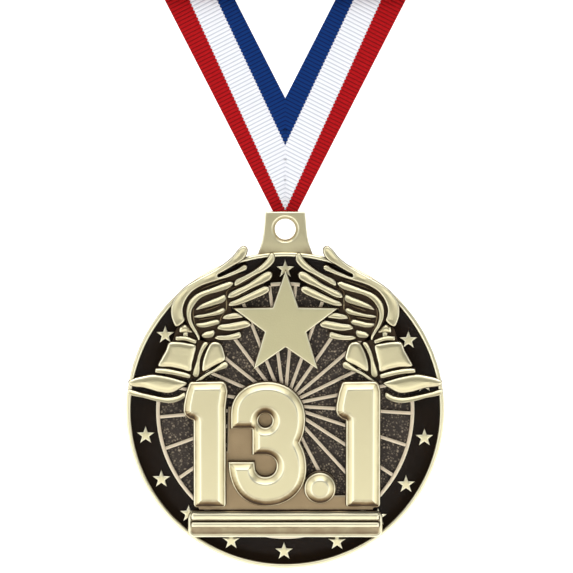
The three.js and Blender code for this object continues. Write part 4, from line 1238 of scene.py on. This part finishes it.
lug(1)
lug(-1)
print("tab and bar done")

# %% [markdown]
# ## The neck ribbon
# The ribbon is one woven grosgrain band, 15 mm wide and 813 mm long, in three stripes. Its
# two ends are cut on a mitre and sewn together in front, and the tip loops round the bar.
# The rest, which goes round a neck, is folded into a flat hank and held by a band.
#
# It could be a flat strip with a bump map, but grosgrain is known by its ribs, and a rib
# shows at the edge as a scallop. So the ribbon is a grid that follows its path, with ribs
# lifted out of both faces. Its UV map is in metres of cloth: u runs across and v along, so
# that stripes and ribs stay right through every fold.

# %% Ribbon sizes
RIBBON_W, RIBBON_T = 15.0, 0.3
RIB_PITCH, RIB_LIFT = 0.9, 0.1
RIBBON_LENGTH = 813.0
STRAP_ANGLE = math.radians(27.1)
SIN, COS = math.sin(STRAP_ANGLE), math.cos(STRAP_ANGLE)
SLOPE = math.tan(STRAP_ANGLE)
hank_low, hank_high = (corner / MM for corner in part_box("ribbon_bundle"))
strap_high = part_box("ribbon_strap_right")[1] / MM
LOOP_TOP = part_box("ribbon_loop")[1].z / MM
TIP_HALF = strap_high.x - (hank_low.z - TAB_TOP_Z) * SLOPE
STRAP_ROW, HANK_ROW = (0.18, 0.225) if FINE else (0.45, 0.9)
COLUMNS = 11 if FINE else 5
START_X = TIP_HALF - RIBBON_W / 2 * COS  # middle of the row whose outer end is at the tab's top
START_Z = TAB_TOP_Z + RIBBON_W / 2 * SIN
print(f"hank {hank_high.x - hank_low.x:.1f} mm wide, tip half width {TIP_HALF:.2f} mm")


def cloth_shell(middle, normal, across, along, width=RIBBON_W, thick=RIBBON_T, lift=RIB_LIFT):
    """A closed strip of cloth from a grid of middle points; ribs rise from both faces."""
    rib = np.abs(np.sin(np.pi * along / RIB_PITCH)) ** 0.8
    selvedge = np.clip((width / 2 - np.abs(across)) / 0.35, 0, 1)
    half = (thick / 2 - lift / 2 + lift * rib) * (0.55 + 0.45 * selvedge)
    front, back = middle - normal * half[..., None], middle + normal * half[..., None]
    rows, columns = along.shape
    index = np.arange(rows * columns).reshape(rows, columns)
    under = index + rows * columns
    a, b, c, d = index[:-1, :-1], index[:-1, 1:], index[1:, 1:], index[1:, :-1]
    faces = [np.stack([a, b, c, d], -1).reshape(-1, 4),
             np.stack([a, d, c, b], -1).reshape(-1, 4) + rows * columns]
    for line, flat in ((index[:, 0], under[:, 0]), (index[-1], under[-1]),
                       (index[::-1, -1], under[::-1, -1]), (index[0, ::-1], under[0, ::-1])):
        faces.append(np.stack([line[:-1], line[1:], flat[1:], flat[:-1]], -1))
    points = np.vstack([front.reshape(-1, 3), back.reshape(-1, 3)])
    uv = np.column_stack([across.ravel(), along.ravel()])
    return points, np.vstack(faces), np.vstack([uv, uv])


def cloth_piece(name, shells, materials, body):
    """One mesh from strips of cloth, with its UV map in metres and its faces pointing out."""
    points, faces, uv, start = [], [], [], 0
    for shell_points, shell_faces, shell_uv in shells:
        points.append(shell_points)
        faces.append(shell_faces + start)
        uv.append(shell_uv)
        start += len(shell_points)
    faces, uv = np.vstack(faces), np.vstack(uv)
    mesh = bpy.data.meshes.new(name)
    mesh.from_pydata((np.vstack(points) * MM).tolist(), [], faces.tolist())
    layer = mesh.uv_layers.new(name="cloth")
    loops = np.empty(len(mesh.loops), dtype=np.int32)
    mesh.loops.foreach_get("vertex_index", loops)
    layer.uv.foreach_set("vector", (uv[loops] * MM).ravel())
    shape = bmesh.new()
    shape.from_mesh(mesh)
    bmesh.ops.remove_doubles(shape, verts=shape.verts, dist=0.001 * MM)
    bmesh.ops.recalc_face_normals(shape, faces=shape.faces)
    shape.to_mesh(mesh)
    shape.free()
    return settle(name, mesh, materials, body, sharp=65)


# %% [markdown]
# ### Folding
# A fold bends cloth round a small cylinder and doesn't stretch it. So a point's place
# depends only on how far past the fold line it is: before the line it lies in the old
# plane, on the bend it goes round the cylinder, and after it lies in the new plane, which
# is the old one mirrored in the line. A chain of such folds takes the flat ribbon to any
# folded shape, slanting folds included, and its length stays true.

# %% Folding a flat ribbon
class Folded:
    """A flat ribbon placed in space: where (along, across) lies after a chain of folds."""

    def __init__(self, origin, along, across, normal):
        self.plane = [np.array(v, float) for v in (origin, along, across, normal)]
        self.stages = []

    def fold(self, line, turn, radius, towards):
        """Fold at along * turn[0] + across * turn[1] = line, to the side that towards gives."""
        origin, along, across, normal = self.plane
        out = turn[0] * along + turn[1] * across
        bend = 1.0 if float(np.dot(normal, towards)) > 0 else -1.0
        self.stages.append((self.plane, line, turn, radius, bend, out))
        shift = (2 * line + math.pi * radius) * out + 2 * bend * radius * normal
        self.plane = [origin + shift, along - 2 * turn[0] * out, across - 2 * turn[1] * out, -normal]

    def at(self, s, t):
        """Middle points and normals for arrays of along and across."""
        origin, along, across, normal = self.plane
        place_at = origin + s[..., None] * along + t[..., None] * across
        normals = np.broadcast_to(normal, place_at.shape).copy()
        for (origin, along, across, normal), line, turn, radius, bend, out in reversed(self.stages):
            past = s * turn[0] + t * turn[1] - line
            flat = origin + s[..., None] * along + t[..., None] * across
            angle = np.clip(past / radius, 0, math.pi)[..., None]
            foot = flat - past[..., None] * out
            curved = foot + out * radius * np.sin(angle) + bend * normal * radius * (1 - np.cos(angle))
            curved_normal = normal * np.cos(angle) - bend * out * np.sin(angle)
            before, bending = (past <= 0)[..., None], (past < math.pi * radius)[..., None]
            place_at = np.where(before, flat, np.where(bending, curved, place_at))
            normals = np.where(before, normal, np.where(bending, curved_normal, normals))
        return place_at, normals


# %% Lay out both halves of the ribbon
LAYER = 0.48  # from one layer of the hank to the next
FRONT_RUNS, BACK_RUNS = 5, 6


def half_ribbon(half_length, runs, stack, wrap):
    """The right half, from the mitre into the hank. Layers stack to y * stack.
    Returns the folded ribbon and the length at which it ends."""
    ribbon = Folded((START_X, 0, START_Z), (SIN, 0, COS), (COS, 0, -SIN), (0, 1, 0))
    towards = (0, stack, 0)
    out = Vector((SIN + 1, COS)).normalized()
    turn = (out.x * SIN + out.y * COS, out.x * COS - out.y * SIN)
    corner_s = (strap_high.x - START_X) * SIN + (hank_low.z - START_Z) * COS
    ribbon.fold(corner_s * turn[0] + RIBBON_W / 2 * turn[1], turn, LAYER / 2, towards)
    ends = []
    for run in range(runs):
        origin, along, _, _ = ribbon.plane
        end = half_length + origin[0] if along[0] < 0 else half_length - origin[0]
        ends.append(end)
        if run < runs - 1:
            ribbon.fold(end, (1, 0), LAYER / 2, towards)
    if wrap:
        ribbon.fold(ends[-1], (1, 0), wrap, (0, -stack, 0))
        ends.append(ends[-1] + math.pi * wrap)
    return ribbon, ends


WRAP_R = LAYER * (FRONT_RUNS + BACK_RUNS) / 2
loop_length = 2 * math.hypot(LOOP_TOP - BAR_Z, 0.5) + math.pi * (BAR_R + 0.25)


def total_length(half_length):
    front = half_ribbon(half_length, FRONT_RUNS, -1, WRAP_R)[1][-1]
    back = half_ribbon(half_length, BACK_RUNS, 1, 0)[1][-1]
    return front + back + loop_length


TRIAL_A, TRIAL_B = 20.0, 30.0
length_a, length_b = total_length(TRIAL_A), total_length(TRIAL_B)
HALF_RUN = TRIAL_A + (RIBBON_LENGTH - length_a) * (TRIAL_B - TRIAL_A) / (length_b - length_a)
print(f"runs of {2 * HALF_RUN:.1f} mm make {total_length(HALF_RUN):.1f} mm of ribbon")


# %% Straps and hank
def half_shell(runs, stack, wrap, mirror):
    ribbon, ends = half_ribbon(HALF_RUN, runs, stack, wrap)
    half_w = RIBBON_W / 2
    first = (LOOP_TOP - START_Z) * COS - START_X * SIN  # the mitre's lowest point, on the centre line
    into_hank = (hank_low.z - START_Z) / COS
    s = np.concatenate([np.arange(first, into_hank, STRAP_ROW),
                        np.arange(into_hank, ends[-1], HANK_ROW), [ends[-1]]])
    bends = [np.linspace(end, end + math.pi * LAYER / 2, 7) for end in ends[:-1]]
    if wrap:
        bends.append(np.linspace(ends[-2], ends[-1], 40))
    s = np.unique(np.round(np.concatenate([s, *bends]), 4))
    seam = -(START_X + s * SIN) / COS
    foot = (START_Z + s * COS - LOOP_TOP) / SIN
    low = np.maximum(-half_w, seam)
    high = np.maximum(low + 1e-4, np.minimum(half_w, foot))
    share = np.linspace(0, 1, COLUMNS + 1)
    across = low[:, None] + (high - low)[:, None] * share
    along = np.repeat(s[:, None], COLUMNS + 1, axis=1)
    middle, normal = ribbon.at(along, across)
    if mirror:
        middle, normal = middle * (-1, 1, 1), normal * (-1, 1, 1)
    return cloth_shell(middle, normal, across, along)


def loop_shell(side):
    """Half of the tip, on one side of the seam: down in front of the bar, round it and up."""
    reach, clear = LOOP_TOP - BAR_Z, BAR_R + 0.25
    gap = RIBBON_T / 2 + 0.05
    down = [(-gap - (clear - gap) * t ** 1.5, LOOP_TOP - reach * t) for t in np.linspace(0, 1, 12)]
    under = [(-clear * math.cos(a), BAR_Z - clear * math.sin(a)) for a in np.linspace(0, math.pi, 14)]
    path = np.array(down[:-1] + under + [(-y, z) for y, z in reversed(down[:-1])])
    length = np.concatenate([[0], np.cumsum(np.hypot(*np.diff(path, axis=0).T))])
    rows = np.arange(0, length[-1], 0.15 if FINE else 0.5)
    y, z = (np.interp(rows, length, axis) for axis in path.T)
    heading = np.column_stack([np.gradient(y), np.gradient(z)])
    heading /= np.hypot(*heading.T)[:, None]
    normal = np.column_stack([np.zeros(len(rows)), -heading[:, 1], heading[:, 0]])
    half = TIP_HALF + (z - TAB_TOP_Z) * SLOPE
    share = np.linspace(0, 1, (13 if FINE else 5))
    x = half[:, None] * share
    level = (LOOP_TOP - rows)[:, None]
    across = (x - START_X) * COS - (level - START_Z) * SIN
    along = (x - START_X) * SIN + (level - START_Z) * COS
    across = np.minimum(across, RIBBON_W / 2)
    middle = np.stack([side * x, np.repeat(y[:, None], x.shape[1], 1),
                       np.repeat(z[:, None], x.shape[1], 1)], -1)
    normals = np.repeat(normal[:, None, :], x.shape[1], 1)
    return cloth_shell(middle, normals, across, along)


neck_ribbon = cloth_piece("neck_ribbon", [
    half_shell(FRONT_RUNS, -1, WRAP_R, False), half_shell(BACK_RUNS, 1, 0, True), loop_shell(1),
    loop_shell(-1),
], [RIBBON_CLOTH], "ribbon")
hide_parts("ribbon_strap_left", "ribbon_strap_right", "ribbon_loop", "ribbon_bundle")
print("ribbon", len(neck_ribbon.data.polygons), "faces")

# %% [markdown]
# ### The band round the hank
# A narrow woven band holds the folds together, pulled tight round their middle.

# %% Tie
tie_low, tie_high = (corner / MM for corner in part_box("ribbon_tie"))
TIE_W, TIE_T = max(10.0, tie_high.x - tie_low.x), 0.3


def tie_shell():
    low_z, high_z = hank_low.z - 0.25, -0.25
    half_y, corner = 3.26, 0.9
    path = np.vstack([
        arc(half_y - corner, high_z - corner, corner, 0, 90, 8),
        arc(corner - half_y, high_z - corner, corner, 90, 180, 8),
        arc(corner - half_y, low_z + corner, corner, 180, 270, 8),
        arc(half_y - corner, low_z + corner, corner, 270, 360, 8),
    ])
    path = np.vstack([path, path[:1]])
    length = np.concatenate([[0], np.cumsum(np.hypot(*np.diff(path, axis=0).T))])
    rows = np.linspace(0, length[-1], 220 if FINE else 60)
    y, z = (np.interp(rows, length, axis) for axis in path.T)
    heading = np.column_stack([np.gradient(y), np.gradient(z)])
    heading /= np.hypot(*heading.T)[:, None]
    normal = np.column_stack([np.zeros(len(rows)), heading[:, 1], -heading[:, 0]])
    across = np.linspace(-TIE_W / 2, TIE_W / 2, 13)[None] + np.zeros((len(rows), 1))
    along = np.repeat(rows[:, None], 13, 1)
    middle = np.stack([across, np.repeat(y[:, None], 13, 1), np.repeat(z[:, None], 13, 1)], -1)
    return cloth_shell(middle, np.repeat(normal[:, None], 13, 1), across, along, TIE_W, TIE_T,
                       0.05), length[-1]


shell, around = tie_shell()
tie = cloth_piece("hank_band", [shell], [BAND_CLOTH], "ribbon")
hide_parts("ribbon_tie")
print(f"band round the hank {around:.1f} mm")

# %% [markdown]
# ### Seam stitches
# The mitre is closed by a fine overcast seam. Its stitches are one small thread repeated
# down the centre line, so a tree puts them on a line of points.

# %% Stitches
STITCH_PITCH, STITCH_R, STITCH_HALF = 1.05, 0.07, 0.42
SEAM_RISE = 13.6  # the stitches stop where the blue stripes begin


def lay_stitches():
    around_thread = 6
    t = np.linspace(-1, 1, 9)
    route = np.column_stack([STITCH_HALF * t, 0.13 * (1 - t ** 2) - 0.02, 0.22 * t])
    points, faces = [], []
    for i, centre in enumerate(route):
        r = STITCH_R * (0.55 if i in (0, len(route) - 1) else 1)
        turn = 2 * math.pi * np.arange(around_thread) / around_thread
        points += [(centre[0], centre[1] + r * math.cos(a), centre[2] + r * math.sin(a)) for a in turn]
    for i in range(len(route) - 1):
        for j in range(around_thread):
            k = (j + 1) % around_thread
            at = i * around_thread
            faces.append((at + j, at + k, at + around_thread + k, at + around_thread + j))
    faces += [tuple(reversed(range(around_thread))), tuple(range(len(points) - around_thread, len(points)))]
    zero = np.zeros(len(points))
    prototype = mesh_of("stitch", (np.array(points) / ART, faces, zero, zero))
    tree = GeometryTree("seam_stitches", {
        "Stitch": ("NodeSocketObject", prototype), "Pitch": ("NodeSocketFloat", STITCH_PITCH * MM),
        "Top": ("NodeSocketFloat", (TAB_TOP_Z + SEAM_RISE) * MM),
        "Foot": ("NodeSocketFloat", (LOOP_TOP + 0.4) * MM),
    })
    top, foot = tree.given("Top"), tree.given("Foot")
    front = -(RIBBON_T / 2 + RIB_LIFT / 2) * MM
    line = tree.add("GeometryNodeMeshLine", {"mode": "END_POINTS", "count_mode": "RESOLUTION"}, {
        "Resolution": tree.given("Pitch"), "Start Location": tree.vector(0.0, front, top),
        "Offset": tree.vector(0.0, front, foot)})
    thread = tree.add("GeometryNodeObjectInfo", None, {"Object": tree.given("Stitch")}, output=4)
    row = tree.add("GeometryNodeInstanceOnPoints", None, {"Points": line, "Instance": thread})
    made = tree.build("seam_stitches", row, bpy.data.meshes.new("stitch_source"), [THREAD], "ribbon")
    bpy.data.objects.remove(prototype)
    return made


stitches = lay_stitches()
print("stitches", len(stitches.data.polygons), "faces")

# %% [markdown]
# ## Floor and light
# The medal hangs in front of a pale sweep: a floor that curves up into a wall, so that no
# horizon shows. Plated metal shows whatever surrounds it, so the light matters more than
# the metal's colour. A large soft panel above and in front gives the flat faces their even
# tone, a side panel lights the left bevels, and a small darkness between them, left by the
# plain grey of the surroundings, draws the edges.

# %% Floor sweep
FLOOR_Z, WALL_Y, SWEEP_R = -0.19, 0.75, 0.35
sweep_line = [(-1.6, FLOOR_Z), (WALL_Y - SWEEP_R, FLOOR_Z)]
sweep_line += [(WALL_Y - SWEEP_R + SWEEP_R * math.sin(a), FLOOR_Z + SWEEP_R * (1 - math.cos(a)))
               for a in np.linspace(0.1, math.pi / 2, 16)]
sweep_line.append((WALL_Y, 1.6))
floor_mesh = bpy.data.meshes.new("floor")
floor_points = [(x, y, z) for x in (-2.2, 2.2) for y, z in sweep_line]
count = len(sweep_line)
floor_mesh.from_pydata(floor_points, [], [(i, i + 1, count + i + 1, count + i) for i in range(count - 1)])
floor_mesh.polygons.foreach_set("use_smooth", [True] * len(floor_mesh.polygons))
paper = Tree("pale_floor")
grain = paper.noise(paper.object_point(), 180.0, 3.0)
floor_mesh.materials.append(paper.finish(Base_Color=paper.mix(grain, (0.93, 0.93, 0.93),
                                                              (0.96, 0.96, 0.955)),
                                         Roughness=0.9))
floor = bpy.data.objects.new("floor", floor_mesh)
SCENE.collection.objects.link(floor)


# %% Lights
def panel(name, place_at, size, power, colour=(1, 1, 1), towards=None):
    light = bpy.data.lights.new(name, "AREA")
    light.shape, light.size, light.size_y = "RECTANGLE", *size
    light.energy, light.color = power, colour
    lamp = bpy.data.objects.new(name, light)
    lamp.location = place_at
    lamp.rotation_mode = "QUATERNION"
    heading = (towards or aim) - Vector(place_at)
    lamp.rotation_quaternion = heading.to_track_quat("-Z", "Y")
    SCENE.collection.objects.link(lamp)


panel("top_panel", (0.0, -0.55, 0.75), (1.2, 0.7), 5)
panel("left_panel", (-0.9, -0.5, 0.1), (0.5, 0.9), 3)
panel("right_panel", (0.95, -0.25, 0.0), (0.3, 0.9), 1.5)
panel("wall_light", (0.0, 0.1, 1.1), (2.0, 0.5), 22, towards=Vector((0, 0.75, 0.1)))
world = bpy.data.worlds.new("surroundings")
world.use_nodes = True
world.node_tree.nodes["Background"].inputs["Color"].default_value = (0.80, 0.80, 0.79, 1)
world.node_tree.nodes["Background"].inputs["Strength"].default_value = 0.42
SCENE.world = world
SCENE.view_settings.view_transform = "Standard"
print("lights ready")
